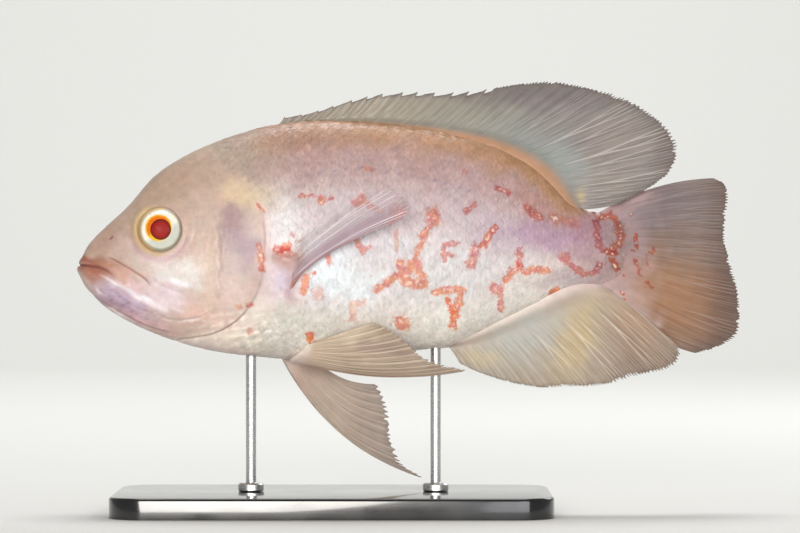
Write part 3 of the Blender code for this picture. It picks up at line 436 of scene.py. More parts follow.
def relief(points):  # how far the skin stands off the plain body in metres, and the painted shade in its folds
    x, z = points[..., 0], points[..., 2]
    seenX, seenZ = seenAt(points)
    out, paintedShades = np.zeros(x.shape), [np.zeros(x.shape)]
    for depth, width, step, reach, dark, wavy, path in creases:
        off, along = nearPath(path, seenX + wavy * ripples(seenX, seenZ, 6, 2), seenZ)
        ends = smoothStep(0, 0.16, along) * smoothStep(0, 0.16, 1 - along)
        step = step * smoothStep(-0.4, 0.4, off) * np.exp(-np.abs(off) / reach)
        out += 0.001 * ends * (step - depth * hill(off, width))
        # painted shade along the groove
        paintedShades.append(dark * ends * (1 - np.abs(off) / 0.9))
    # the lips
    off, along = nearPath(mouth["path"], seenX, seenZ)
    corner = fade(0.80, 1.0, along)
    lips = sum(high * hill(off - at, reach) for high, at, reach in (mouth["upperLip"], mouth["lowerLip"]))
    lips *= mouth["flat"] + (1 - mouth["flat"]) * smoothStep(body["snoutX"], mouth["flatX"], x)
    lips *= (0.25 + 0.75 * corner) * fade(1.0, 3.0, np.hypot(off, 4 * (along - 1)) * (along > 0.999))
    depth, width = mouth["groove"]
    out += 0.001 * (lips - depth * hill(off, width) * corner**0.5)
    out -= mouth["tuck"] * fade(body["snoutX"], mouth["tuckX"], x)
    # painted shade in the mouth's line
    paintedShades.append(0.9 * corner**0.4 * (1 - np.abs(off) / 0.85))
    # the gill cover's free edge, and the slit behind it, with painted shade along the slit, strongest low
    # down
    off, _ = nearPath(gillEdge["path"], seenX, seenZ)
    low = fade(*gillEdge["fade"], seenZ) * (0.35 + 0.65 * fade(84, 106, seenZ))
    out += gillEdge["lift"] * low * fade(-0.10, 0.30, off) * smoothStep(-0.080, -0.071, x)
    out -= 0.00030 * low * hill(off - 0.45, 0.5)
    slitShadeStrength = 0.10 + 0.60 * fade(72, 90, seenZ)
    paintedShades.append(slitShadeStrength * (1 - np.abs(off - 0.25) / 0.65) * (seenZ < 128))
    for centreX, centreZ, long, short, turn, deep in nostrils:
        a, b = turnedBy(seenX, seenZ, centreX, centreZ, turn)
        away = np.sqrt((a / long) ** 2 + (b / short) ** 2)
        out -= deep * fade(0.45, 1.15, away) - 0.16 * deep * hill(away - 1.5, 0.4)
        # painted shade in the nostril
        paintedShades.append(0.9 * (1.25 - away) * deep / nostrils[0][-1])
    # the fold round the eye, with a painted shadow line where the lid overlaps the ball behind and above, and
    # painted shade beyond the fold in front
    near, angle, half, off = eyeRim(x, z)
    out += near * (0.35 + 0.45 * half / eye["rimFront"]) * half * hill(off, half * 1.05)
    out -= near * eye["socketDepth"] * fade(-0.0030, -0.0001, off)
    out -= near * 0.00016 * hill(off - 2.1 * half, 0.0005) * smoothStep(0.5, -0.5, np.sin(angle))
    lid = smoothStep(0.0, 0.8, np.cos(angle - 0.7)) * hill(off + 0.8 * half, 0.00030)
    fold = smoothStep(0.2, 0.9, -np.cos(angle)) * hill(off - 1.35 * half, 0.00030)
    paintedShades.append(near * np.maximum(0.75 * lid, 0.38 * fold))
    # the fleshy lobe at the pectoral fin's foot
    off, along = nearPath(lobe, seenX, seenZ)
    out += 0.0010 * hill(off, 3.0) * smoothStep(0, 0.25, along)
    fine = ripples(seenX, seenZ, 3.6, 3) + 0.6 * ripples(seenX, seenZ, 1.7, 4)
    out += 0.00003 * fade(-0.062, -0.050, x) * fine
    # loose skin over the breast, fine folds along the jaw, uneven skin over the temple
    along, across = seenX * 0.87 - seenZ * 0.5, seenX * 0.5 + seenZ * 0.87
    for high, patch, waves in (
            (0.00013, (-62, 68, 18, 7, 0), ripples(0.5 * seenX, seenZ, 2.0, 5)),
            (0.00007, (-106, 81, 17, 7, -28), ripples(0.4 * along, across, 1.8, 17)),
            (0.00005, (-70, 121, 16, 9, -20), ripples(seenX, seenZ, 2.0, 18))):
        out += high * patchWeight(seenX, seenZ, *patch, 1) * waves
    return out, np.max(paintedShades, axis=0)


# Colours by place, in mm as the camera sees the left side

tints = {
    # the nape and head tints are their own tones, darkened with painted shade
    "flank": "#d4c5c4", "upper": "#b39390", "back": "#b0835f", "nape": "#ad9988",
    "belly": "#e6dbd0", "keel": "#d3bab2", "head": "#bfa699",
    # glint and the breast's near-white tint are painted highlights
    "jaw": "#6f566a", "glint": "#f4eef4", "breastGlint": "#f8f3e6", "rosy": "#d9a9a2",
    "lid": "#c2a67c", "underEye": "#bb92a0",
}
# centre x and z, reach in x and z, turn in degrees, colour, strength
patches = (
    (-98, 128, 17, 9, 32, "#a38d7a", 0.85),  # the forehead's tan, darkened with painted shade
    (-120, 108, 9, 7, 40, "#a78b7b", 0.85),  # the snout
    (-108, 104, 8, 6, 0, "#c2aca5", 0.6),
    (-90, 93, 15, 6.5, -14, "#d3d2cd", 0.95),  # the white cheek
    (-98, 98.5, 8, 4, -20, "#ddd0cb", 0.7),
    (-96, 84, 10, 5, -18, "#d9ccd3", 0.8),
    (-80, 112, 6, 11, 0, "#bba89b", 0.8),
    (-78, 93, 3.5, 12, 0, "#cebaa7", 0.8),  # the warm band before the gill cover
    (-66, 103, 8, 22, 0, "#aa9d9b", 0.8),  # the gill cover
    (-68.5, 111, 5.2, 11, 12, "#8f7379", 0.85),  # its mauve patch
    (-63.5, 101, 4.5, 8, 20, "#937a86", 0.8),
    (-68, 86, 7, 8, 0, "#d6c1b8", 0.75),
    (-75, 74.5, 14, 4, -16, "#debcae", 0.75),  # its pinkish foot
    (-111.5, 82.5, 14, 5.5, -30, "#b3a1b6", 0.95),  # the lavender lower jaw
    (-115, 80.6, 11, 2.4, -31, "#8f7689", 0.75),
    (-104, 74, 10, 2.2, -24, "#c9a1aa", 0.8),  # the pink chin
    (-125.5, 98.2, 6, 1.9, -8, "#8f4d37", 0.95),  # the upper lip
    (-118, 96.6, 5.5, 2.0, -26, "#99664f", 0.88),
    (-123.0, 93.8, 7.5, 2.8, -8, "#94523b", 0.97),  # the lower lip
    (-124.5, 91.4, 5.5, 2.2, -12, "#a0705a", 0.85),
    (-112, 92.2, 8, 2.4, -32, "#c09987", 0.85),  # the maxilla
    (-107, 89.0, 4, 1.8, -30, "#dfc6cf", 0.6),
    (-66, 124, 9, 5.5, -15, "#d2bd98", 0.75),
    (-55, 122, 9, 6, -15, "#d3c2ab", 0.6),  # yellowish over the gill opening
    (-48, 112, 6, 11, 0, "#dfdad8", 0.8),
    (-50.5, 91, 4.5, 5, 0, "#d3c6dc", 0.7),
    (-33, 94, 11, 10, 60, "#eaf0f4", 1.0),  # bluish white behind the pectoral fin: the pale flank with a painted silvery sheen
    (-47.5, 98.5, 7, 5.0, -8, "#b08b84", 0.95),  # the foot of the pectoral fin
    (-46.3, 89, 2.8, 7, -4, "#b59aa2", 0.85),
    (-20, 89, 12, 9, 0, "#e9edee", 0.85),
    (-44, 73, 24, 7, -8, "#d3cdc0", 0.85),  # the breast
    (-65, 67, 15, 3.5, -10, "#e1d7c6", 0.9),
    (8, 74, 18, 6, 12, "#e8e2d6", 0.8),
    (14, 92, 26, 13, 0, "#dbd8d7", 0.7),
    (-10, 104, 16, 7, 0, "#d3cdd2", 0.6),
    (0, 118, 28, 8, 8, "#bfa9ae", 0.7),
    (-28, 118, 16, 7, 20, "#cdbdc2", 0.6),
    (30, 110, 16, 8, -8, "#c0acb6", 0.7),
    (52, 107, 16, 7, -8, "#af8ca2", 0.9),  # the violet tail stalk
    (48, 121, 12, 4, -38, "#b0837a", 0.8),
    (-42, 147, 24, 6, 4, "#9f7863", 0.7),
    (70, 108, 9, 8, 0, "#a67b8e", 0.85),
    (60, 91, 15, 4, 4, "#b6a2a4", 0.75),
    (82, 103, 11, 20, 0, "#957d7e", 0.95),
    (95, 114, 11, 12, 0, "#7a7175", 0.95),
    (94, 88, 12, 12, 0, "#a07e6c", 0.95),
)
glints = (  # painted highlights, bright streaks of wet skin: centre, reach along and across, turn, strength
    (-109.5, 86.0, 9.5, 1.7, -27, 0.75), (-101.0, 82.0, 6.5, 2.1, -22, 0.85),
    (-116.5, 89.9, 4.5, 0.7, -30, 0.6), (-91.0, 89.6, 8.0, 1.5, -12, 0.9),
    (-86.0, 74.7, 8.0, 0.5, -4, 0.8), (-113.0, 76.2, 9.0, 0.45, -29, 0.8),
    (-94.0, 79.6, 5.0, 0.8, -14, 0.6), (-120.5, 86.0, 3.5, 0.6, -32, 0.6),
)


def bodyHue(points):
    x, z = seenAt(points)
    trueX, trueZ = points[..., 0], points[..., 2]
    under = (lines["back"](trueX) - trueZ) * 1000 + 2.0 * ripples(x, z, 15, 6)
    over = (trueZ - lines["belly"](trueX)) * 1000 + 1.5 * ripples(x, z, 12, 7)
    behind, _ = nearPath(gillEdge["path"], x, z)
    warpX = x + 1.6 * ripples(x, z, 11, 8) + 0.7 * ripples(x, z, 4, 9)
    warpZ = z + 1.3 * ripples(x, z, 11, 10) + 0.6 * ripples(x, z, 4, 11)
    streaks = np.clip(0.70 + 0.6 * ripples(x + 0.6 * z, z + 0.5 * x, 6, 12), 0, 1)
    onJaw = patchWeight(x, z, -112, 82, 15, 5, -30, 1) * smoothStep(0.0, 0.9, ripples(0.6 * x, z, 2.0, 16))
    # where painted highlights lie on the crests of the breast's loose folds
    breastGlintMask = patchWeight(x, z, -58, 70, 22, 8, -6, 1) * smoothStep(0.0, 0.8, ripples(0.5 * x, z, 2.0, 5))
    hue = blendAll(toLinear(tints["flank"]) + np.zeros((*x.shape, 3)), [
        (tints["upper"], fade(14, 44, under)),
        (tints["belly"], fade(10, 30, over) * fade(45, 75, x)),
        # the head's and the nape's tones, darkened with painted shade
        (tints["head"], fade(-2, 2, behind)),
        (tints["nape"], fade(6, 34, under) * fade(-62, -40, x)),
        (tints["back"], fade(3, 15, under) * smoothStep(-66, -44, x) * fade(64, 76, x)),
        (tints["keel"], 0.7 * fade(0, 5, over) * fade(-10, 20, x) * smoothStep(-100, -80, x)),
        *((paint, patchWeight(warpX, warpZ, *shape, strength)) for *shape, paint, strength in patches),
        (tints["jaw"], 0.4 * onJaw),
        # painted highlights of wet skin, broken into streaks
        *((tints["glint"], 0.85 * patchWeight((x + warpX) / 2, (z + warpZ) / 2, *glint) * streaks)
          for glint in glints),
        # painted highlights on the breast's folds
        (tints["breastGlint"], 0.6 * breastGlintMask),
    ])
    mottle = 1 + 0.040 * ripples(x, z, 6, 13) + 0.035 * ripples(x, z, 2.6, 14)
    near, angle, half, off = eyeRim(trueX, trueZ)
    below = smoothStep(0.1, -0.8, np.sin(angle)) * hill(off - 0.0022, 0.0012)
    return blendAll(hue * mottle[..., None], [
        (tints["rosy"], 0.10 * (0.5 + 0.5 * ripples(x, z, 8, 15))),
        (tints["lid"], 0.9 * near * hill(off, half * 1.25) * smoothStep(0.45, -0.5, np.cos(angle - 0.4))),
        (tints["underEye"], 0.55 * near * below),
    ])


# Markings: radius, then points of the middle line, in mm as the camera sees the left side
markings = {
    "orange": (
        (1.5, (-39.1, 69.0), (-38.9, 67.0)), (1.0, (-32.4, 65.4), (-30.0, 65.2)),
        (1.3, (14.8, 82.6), (16.6, 77.4)), (1.9, (16.8, 77.0), (17.2, 72.4)),
        (1.5, (54.8, 85.2), (57.4, 86.6)), (1.4, (54.8, 85.0), (56.0, 82.6)),
        (1.6, (28.4, 103.8), (30.6, 107.4), (32.8, 110.8)),
        (1.3, (76.4, 101.6), (80.8, 100.8)), (1.4, (79.4, 98.0), (80.8, 95.2)),
        (0.9, (88.0, 108.4), (88.3, 102.6)), (0.9, (95.2, 102.6), (95.2, 101.8)),
        (1.1, (92.7, 89.2), (92.9, 88.4)), (0.9, (82.8, 86.2), (82.7, 83.8)),
        (1.2, (-50.4, 102.2), (-47.6, 102.8)), (0.9, (-37.6, 93.2), (-37.2, 92.4)),
    ),
    "salmon": (
        (2.7, (9.4, 116.2), (8.6, 113.4)),
        (1.4, (7.2, 110.8), (4.4, 107.8), (5.2, 106.0), (4.0, 103.2), (2.4, 99.8)),
        (2.2, (2.4, 98.6), (3.2, 94.4), (5.0, 90.8)), (2.2, (1.4, 97.0), (-1.4, 93.0), (-2.6, 90.6)),
        (2.0, (-2.4, 89.8), (1.6, 88.8), (5.6, 89.0)),
        (1.9, (-4.0, 96.6), (-3.4, 93.2), (-8.2, 89.6), (-13.2, 86.8)),
        (1.5, (9.6, 85.6), (13.6, 86.4), (20.4, 86.8)), (1.5, (19.8, 85.8), (19.1, 81.4), (17.8, 78.2)),
        (2.9, (-3.4, 74.4), (-2.8, 73.0)), (1.8, (-52.2, 102.2), (-47.2, 103.6)),
        (1.7, (-40.6, 92.0), (-41.2, 86.0)), (1.5, (-32.4, 100.6), (-31.4, 97.6)),
        (1.4, (-59.0, 104.0), (-58.2, 101.0), (-57.8, 94.8)), (1.7, (-34.7, 121.8), (-34.2, 121.4)),
        (2.3, (-21.2, 120.8), (-18.8, 121.8)), (1.2, (-16.8, 119.6), (-11.6, 117.6)),
        (1.5, (43.6, 93.8), (49.6, 94.4), (54.4, 93.8)), (1.6, (36.8, 89.8), (39.8, 93.4), (42.4, 95.8)),
        (1.4, (74.2, 114.8), (78.0, 115.6), (81.4, 112.6)),
        (1.9, (81.4, 111.8), (82.4, 107.8), (81.2, 104.0), (78.6, 102.0)),
    ),
    "pink": (
        (0.7, (-43.2, 123.4), (-36.8, 123.3)), (1.0, (-31.4, 122.1), (-30.8, 122.3)),
        (0.7, (-46.4, 109.2), (-44.2, 105.6)), (0.6, (-59.5, 120.3), (-56.8, 117.2)),
        (1.2, (-62.6, 80.8), (-62.0, 80.8)),
        (1.2, (-21.1, 105.8), (-18.2, 101.4)), (1.1, (-18.2, 101.6), (-16.0, 103.6)),
        (1.5, (22.1, 117.4), (24.3, 119.4)), (1.2, (12.9, 103.8), (13.5, 98.0)),
        (1.0, (12.8, 104.2), (18.6, 104.8)),
        (1.0, (13.4, 100.4), (16.8, 100.0)), (2.3, (23.8, 96.2), (26.0, 103.2)),
        (2.8, (33.6, 87.4), (34.2, 86.6)), (1.3, (35.1, 83.6), (35.5, 79.0)),
        (1.4, (42.5, 102.4), (43.0, 96.2)),
        (1.9, (45.6, 118.8), (48.4, 115.9), (50.6, 115.0)), (1.0, (33.6, 126.4), (38.8, 124.4)),
        (2.5, (60.0, 99.4), (60.8, 98.6)), (1.5, (63.0, 96.2), (67.4, 93.0), (71.8, 93.2), (74.4, 96.6)),
        (1.5, (72.9, 114.8), (72.9, 108.4), (73.7, 103.8), (75.6, 102.2)),
        (1.0, (87.8, 99.0), (88.8, 93.8)),
        (0.6, (92.0, 99.8), (92.3, 96.8)),
    ),
    "faint": (
        (1.1, (-5.5, 109.4), (-5.1, 102.4)), (1.8, (-22.6, 81.2), (-18.6, 81.2)),
        (1.6, (-22.5, 80.8), (-22.4, 75.6)), (2.4, (-36.2, 86.0), (-36.0, 84.2)),
        (1.2, (-66.8, 80.4), (-66.2, 80.2)), (1.2, (-62.8, 70.8), (-62.2, 70.4)),
        (2.0, (55.4, 114.8), (64.4, 112.4)), (1.0, (20.8, 133.2), (21.4, 132.6)),
        (1.0, (-17.8, 134.0), (-14.6, 133.6)), (1.2, (-50.0, 99.6), (-45.6, 100.6)),
        (1.3, (85.8, 117.2), (86.2, 116.4)),
    ),
    "pore": tuple(  # the dark pores of the lateral line
        (0.9, (x - 0.7, z), (x + 0.5, z + 0.3)) for x, z in (
            (-40, 131.3), (-35, 132.2), (-29.4, 132.8), (-24.6, 133.7), (-19.2, 134.0), (-14, 133.2),
            (-9, 132.4), (-4, 131.8), (1, 131.0), (5.6, 130.2), (10, 129.2), (14.2, 128.1),
            (19.4, 126.3), (23, 125.1),
        )
    ),
}


def markField(marks, x, z):  # 1 in the middle of a mark, 0 at its edge, less outside
    best = np.full(x.shape, -2.0)
    for radius, *points in marks:
        off, _ = nearPath(points, x, z, smooth=False)
        best = np.maximum(best, 1 - np.abs(off) / radius)
    return best


def giveMarkings(mesh, points, shift=0.0):  # the same markings for the skin, the scales and the tail fin
    x, z = seenAt(points)
    right = points[..., 1] > 0
    # the right side's own pattern: the left one's, drawn out of true
    markX = np.where(right, x + 4.0 * np.sin(z / 9.0 + 1.0) + 2.5, x) + 0.45 * ripples(x, z, 3.0, 21)
    markZ = np.where(right, z + 3.5 * np.sin(x / 13.0 + 2.0), z) + 0.45 * ripples(x, z, 3.0, 22)
    for key, marks in markings.items():
        field = markField(marks, x, z) if key == "pore" else markField(marks, markX, markZ) + shift
        giveNumbers(mesh, key, field)


# Skin

fishSkin = {
    "fixed": {
        "Subsurface Weight": 0.12, "Subsurface Scale": 0.0015, "Specular IOR Level": 0.42,
        "Coat Weight": 0.16, "Coat Roughness": 0.20, "IOR": 1.38,
    },
    "marks": (  # tints: where redder, where yellower, strength
        ("faint", "#f9c9c0", "#ffdcc0", 0.75), ("pink", "#ee9fa2", "#f8b8a8", 0.95),
        ("salmon", "#f5a296", "#ffb68c", 0.95), ("orange", "#f59480", "#ffa45e", 1.0),
    ),
    # the dark tint is painted shade in folds and pits, the near-white one a painted highlight on each scale's
    # crown
    "cream": "#f6e3d5", "pore": "#94828e", "dark": "#8a4f4a", "crownHighlight": "#fffaf7", "blush": "#c8948c",
    # the scales' rim tint: a mauve tint with painted shade at each scale's border
    "scaleRimTintAndShade": "#c6aab0",
    "mottle": 0.0042, "speckle": 0.0009, "wrinkle": 0.0006, "swell": 0.0024,  # sizes on the fish
    # the last of these sizes is that of the scales' painted pearly sheen
    "ragged": 0.0012, "hollow": 0.0018, "pearlySheen": 0.0011,
    "around": 316, "headStep": 0.0004, "gillStep": 0.00044, "trunkStep": 0.0014,  # the mesh
    "inset": 0.00012, "scaledInset": 0.00023,  # how deep it lies in the body, and more under scales
}


def paintMarks(add, place, colour, core=None):
    # a soft ragged band, redder at its rim, with paler flecks inside where single scales stay clear
    ragged, flecks, blotch = (
        add("TexNoise", {"Vector": place, "Scale": scale, "Detail": detail}) for scale, detail in (
            (1 / fishSkin["ragged"], 3.0), (1 / fishSkin["hollow"], 2.0), (0.6 / fishSkin["hollow"], 1.0)))
    if core is not None:
        flecks = add("Math", {0: core, 1: 0.10, 2: flecks}, operation="MULTIPLY_ADD")
    for key, red, yellow, weight in fishSkin["marks"]:
        own = add("Attribute", output="Fac", attribute_name=key)
        field = add("Math", {0: ragged, 1: 1.7, 2: own}, operation="MULTIPLY_ADD")
        hollow = add("Math", {0: field, 1: flecks}, operation="MULTIPLY")
        paint = layColour(add, red, yellow, blotch, 0.40, 0.60)
        for low, high, share in ((0.40, 1.20, 0.40), (0.75, 1.35, 0.85)):
            colour = layColour(add, colour, paint, field, low, high, share * weight, "MULTIPLY")
        colour = layColour(add, colour, fishSkin["cream"], hollow, 0.76, 1.30, 0.55)
    return colour


def skinFinish(name, scaly=False):
    # Live albino skin under clear mucus: soft light under the surface, a wet gloss over it.
    material, add, shader = newMaterial(name, fishSkin["fixed"])
    place = add("TexCoord", output="Object")
    pore, dark, edge, core, shade = (
        add("Attribute", output="Fac", attribute_name=key)
        for key in ("pore", "dark", "edge", "core", "shade"))
    mottle, speckle, wrinkle, swell = (
        add("TexNoise", {"Vector": place, "Scale": 1 / fishSkin[key], "Detail": 3.0})
        for key in ("mottle", "speckle", "wrinkle", "swell"))
    colour = shadeBy(add, add("Attribute", attribute_name="hue"), mottle, 0.93, 1.04)
    colour = shadeBy(add, colour, speckle, 0.94, 1.04)
    colour = layColour(add, colour, fishSkin["blush"], swell, 0.50, 0.72, 0.16)
    if scaly:
        colour = add("VectorMath", {0: colour, "Scale": shade}, operation="SCALE")
        # a painted highlight on each scale's crown
        colour = layColour(add, colour, fishSkin["crownHighlight"], core, 0.15, 1.0, 0.10)
        # a painted pearly sheen: upright flecks a little lighter and darker
        fine = 1 / fishSkin["pearlySheen"]
        upright = add("Mapping", {"Vector": place, "Scale": (fine, fine, 0.4 * fine)})
        pearlySheen = add("TexNoise", {"Vector": upright, "Scale": 1.0, "Detail": 2.0})
        colour = shadeBy(add, colour, pearlySheen, 0.87, 1.07)
        # darker rims: a mauve tint with painted shade at each scale's border
        patchy = add("Math", {0: mottle, 1: 0.5, 2: edge}, operation="MULTIPLY_ADD")
        colour = layColour(add, colour, fishSkin["scaleRimTintAndShade"], patchy, 1.06, 1.34, 0.42, "MULTIPLY")
    pored = add("Math", {0: speckle, 1: 0.6, 2: pore}, operation="MULTIPLY_ADD")
    colour = layColour(add, colour, fishSkin["pore"], pored, 0.3, 0.9, 0.6)
    colour = paintMarks(add, place, colour, core if scaly else None)
    # painted shade in the creases, the mouth, the gill slit, the nostrils and round the eye
    colour = layColour(add, colour, fishSkin["dark"], dark, 0.05, 0.95, 0.85)
    height = add("Math", {0: swell, 1: 2.2, 2: wrinkle}, operation="MULTIPLY_ADD")
    giveSurface(add, shader, colour, mottle, 0.36, 0.52, height, 0.00016)
    return material


def skinStations():  # close together over the snout and head, wider over the scaled body
    nose = body["snoutX"] + body["noseRadius"] * (1 - np.cos(np.linspace(0.12, math.pi / 2, 15)))
    gill, trunk, tail = -0.100, -0.052, 0.078
    step = fishSkin["headStep"]
    return np.concatenate([
        nose, np.arange(nose[-1] + step, gill, step), np.arange(gill, trunk, fishSkin["gillStep"]),
        np.arange(trunk, tail, fishSkin["trunkStep"]), np.linspace(tail, body["endX"], 18),
    ])


def makeSkin():
    xs = skinStations()
    count = fishSkin["around"]
    angle = np.arange(count) * 2 * math.pi / count
    nape = 0.018 * smoothStep(0.1, 0.5, np.cos(angle))[None, :]
    scaled = smoothStep(-0.075, -0.050, xs[:, None] + nape)
    inset = (fishSkin["inset"] + fishSkin["scaledInset"] * scaled) * fade(0.084, 0.092, xs)[:, None]
    plain = roundBody(xs[:, None], angle[None, :], inset)
    around = np.roll(plain, -1, axis=1) - np.roll(plain, 1, axis=1)
    normal = np.cross(around, np.gradient(plain, axis=0))
    normal /= np.linalg.norm(normal, axis=-1, keepdims=True) + 1e-12
    core = np.stack([xs, 0 * xs, lines["widest"](xs)], axis=-1)[:, None, :]
    normal *= np.sign((normal * (plain - core)).sum(axis=(0, 1, 2)))
    normal[0] = (-1, 0, 0)
    out, dark = relief(plain)
    points = plain + normal * out[..., None]
    ring = np.arange(count)
    after = (ring + 1) % count
    faces = []
    for a in range(0, (len(xs) - 1) * count, count):
        b = a + count
        faces += np.stack([a + ring, a + after, b + after, b + ring], axis=1).tolist()
    last, tip, end = (len(xs) - 1) * count, len(xs) * count, len(xs) * count + 1
    faces += [[tip, n, r] for r, n in zip(ring, after)]
    faces += [[end, last + r, last + n] for r, n in zip(ring, after)]
    ends = np.array([points[0].mean(axis=0) - (0.0001, 0, 0), points[-1].mean(axis=0)])
    mesh = meshFrom("skin", swing(np.concatenate([points.reshape(-1, 3), ends]), curled=True), faces)
    faceOut(mesh)
    plain = np.concatenate([plain.reshape(-1, 3), ends])
    giveHue(mesh, bodyHue(plain))
    # the painted shade of the folds and pits
    giveNumbers(mesh, "dark", np.concatenate([dark.ravel(), [0, 0]]))
    giveMarkings(mesh, plain)
    skin = addPiece("skin", mesh, skinFinish("wetAlbinoSkin"),
                    "head", "jaw_lower", "gill_cover_left", "gill_cover_right", "trunk", "tail_stalk")


def faceOut(mesh):
    work = bmesh.new()
    work.from_mesh(mesh)
    bmesh.ops.recalc_face_normals(work, faces=work.faces)
    if work.calc_volume(signed=True) < 0:
        bmesh.ops.reverse_faces(work, faces=work.faces)
    work.to_mesh(mesh)
    work.free()


makeSkin()
print("skin done")


# Scales, laid by geometry nodes on points along the body

scales = {
    "column": 0.00255, "row": 0.0045,  # between columns along the body, and between rows in a column
    "firstX": -0.090, "lastX": 0.0865, "splitX": 0.004,  # laid as a front and a rear piece
    "length": 2.5, "width": 1.34,  # a scale's size against the column and the row
    "steps": 6, "crown": 0.016, "edgeDrop": 0.012, "depth": 0.00030,  # it grows this deep in the body
    "tilt": 1.05, "jitter": 3.0, "seed": 5,  # tilt and jitter in degrees
    "patch": 0.003, "mapLength": 0.235,  # the width of its place on the bake's map, and what the map spans
    "dorsalX": (-0.053, 0.064), "analX": 0.014,  # none over the roots of these fins
    "start": (  # over the nape, then behind the gill opening, in mm as the camera sees the left side
        (-92, 165), (-90, 146), (-84, 133), (-72, 126.5), (-62, 122.5), *gillEdge["path"][4:],
    ),
}


def scaleShape():
    # one scale 1 long and 1 wide: its root at 0, its free edge rounded, a closed shell
    steps = scales["steps"]
    n = steps + 1
    along, across = np.meshgrid(np.linspace(0, 1, n) ** 0.85, np.linspace(-1, 1, n), indexing="ij")
    taper = np.sqrt(np.clip(1 - np.clip((along - 0.45) / 0.58, 0, 1) ** 2, 0, 1))
    spread = 0.5 * taper * (0.72 + 0.28 * smoothStep(0, 0.4, along))
    x = along - 0.10 * across**2 * smoothStep(0.3, 1.0, along)
    z = -scales["crown"] * across**2 * (0.4 + 0.6 * along) - scales["edgeDrop"] * smoothStep(0.8, 1.0, along)
    top = np.stack([x, across * spread, z], axis=-1).reshape(-1, 3)
    corners = [i * n + j for i in range(steps) for j in range(steps)]
    faces = [(a, a + n, a + n + 1, a + 1) for a in corners]
    border = [i * n for i in range(n)] + [steps * n + j for j in range(1, n)]
    border += [i * n + steps for i in range(steps - 1, -1, -1)] + [j for j in range(steps - 1, 0, -1)]
    low = top[border] * (0.975, 0.96, 1) + (0.012, 0, -scales["edgeDrop"])
    start, count = len(top), len(border)
    faces += [(a, border[(i + 1) % count], start + (i + 1) % count, start + i) for i, a in enumerate(border)]
    faces.append(tuple(start + i for i in range(count)))
    mesh = meshFrom("scaleShape", np.concatenate([top, low]), faces)
    faceOut(mesh)
    return bpy.data.objects.new("scaleShape", mesh)


def ringLengths(x, side, count=400):  # arc length along one side from the middle of the flank
    angle = np.linspace(0, math.pi, count) * side
    points = roundBody(np.full(count, x), angle, scales["depth"])
    steps = np.linalg.norm(np.diff(points, axis=0), axis=1)
    arc = np.concatenate([[0.0], np.cumsum(steps)])
    middle = np.interp(math.pi / 2, np.abs(angle), arc)
    return arc - middle, np.abs(angle)


def scaleRoots(side):
    # places in columns, each half a row off the last, where scales grow
    rows = []
    x, column = scales["firstX"], 0
    while x < scales["lastX"]:
        shrink = 1 - 0.38 * smoothStep(0.000, 0.080, x) - 0.30 * fade(-0.082, -0.050, x)
        arc, angles = ringLengths(x, side)
        row = scales["row"] * shrink
        for k in range(int(arc[0] / row) - 1, int(arc[-1] / row) + 2):
            at = (k + 0.5 * (column % 2)) * row
            if not arc[0] < at < arc[-1]:
                continue
            small = 1 - 0.25 * fade(0, 0.012, min(at - arc[0], arc[-1] - at))
            angle = side * np.interp(at, arc, angles)
            step, bit = 0.0004, 0.01
            spot = roundBody(np.array([x - step, x, x + step]), np.full(3, angle), scales["depth"])
            turn = roundBody(np.array([x, x]), np.array([angle - bit, angle + bit]), scales["depth"])
            lie = spot[2] - spot[0]
            lie /= np.linalg.norm(lie)
            outward = np.cross(lie, turn[1] - turn[0])
            outward /= np.linalg.norm(outward) + 1e-12
            if outward @ (0, spot[1][1], spot[1][2] - lines["widest"](x)) < 0:
                outward = -outward
            pitch = scales["column"] * shrink
            size = (pitch * scales["length"] * small, row * scales["width"] * small, pitch * 2)
            strip = 0.25 + 0.5 * abs(angle) / math.pi * side + (0.5 if side < 0 else 0)
            rows.append((*spot[1], *outward, *lie, *size, (x - body["snoutX"]) / scales["mapLength"], strip))
        x += scales["column"] * shrink
        column += 1
    return np.split(np.array(rows), (3, 6, 9, 12), axis=1)


def scaleTree(material):
    tree = bpy.data.node_groups.new("layScales", "GeometryNodeTree")
    inputs = {
        "Geometry": "Geometry", "Scale Shape": "Object", "Tilt": "Float", "Jitter": "Float", "Seed": "Int"}
    for name, kind in inputs.items():
        tree.interface.new_socket(name, in_out="INPUT", socket_type="NodeSocket" + kind)
    tree.interface.new_socket("Geometry", in_out="OUTPUT", socket_type="NodeSocketGeometry")
    add = partial(addNode, tree)
    roots, given, tilt, jitter, seed = (add("NodeGroupInput", output=name) for name in inputs)
    outward, lie, size = (
        add("GeometryNodeInputNamedAttribute", {"Name": name}, "Attribute", data_type="FLOAT_VECTOR")
        for name in ("outward", "lie", "size"))
    up = add("FunctionNodeAlignRotationToVector", {"Vector": outward}, axis="Z")
    along = add(
        "FunctionNodeAlignRotationToVector", {"Rotation": up, "Vector": lie}, axis="X", pivot_axis="Z")
    low, lift = (add("Math", {0: value, 1: -1.0}, operation="MULTIPLY") for value in (jitter, tilt))
    wobble = add("FunctionNodeRandomValue", {2: low, 3: jitter, "Seed": seed}, 1, data_type="FLOAT")
    turn = add("FunctionNodeEulerToRotation", {"Euler": add("CombineXYZ", {"Y": lift, "Z": wobble})})
    lay = add("FunctionNodeRotateRotation", {"Rotation": along, "Rotate By": turn}, rotation_space="LOCAL")
    shape = add("GeometryNodeObjectInfo", {"Object": given}, "Geometry")
    laid = add("GeometryNodeInstanceOnPoints", {
        "Points": roots, "Instance": shape, "Rotation": lay, "Scale": size})
    real = add("GeometryNodeRealizeInstances", {"Geometry": laid})
    done = add("GeometryNodeSetMaterial", {"Geometry": real, "Material": material})
    add("NodeGroupOutput", {"Geometry": done})
    return tree


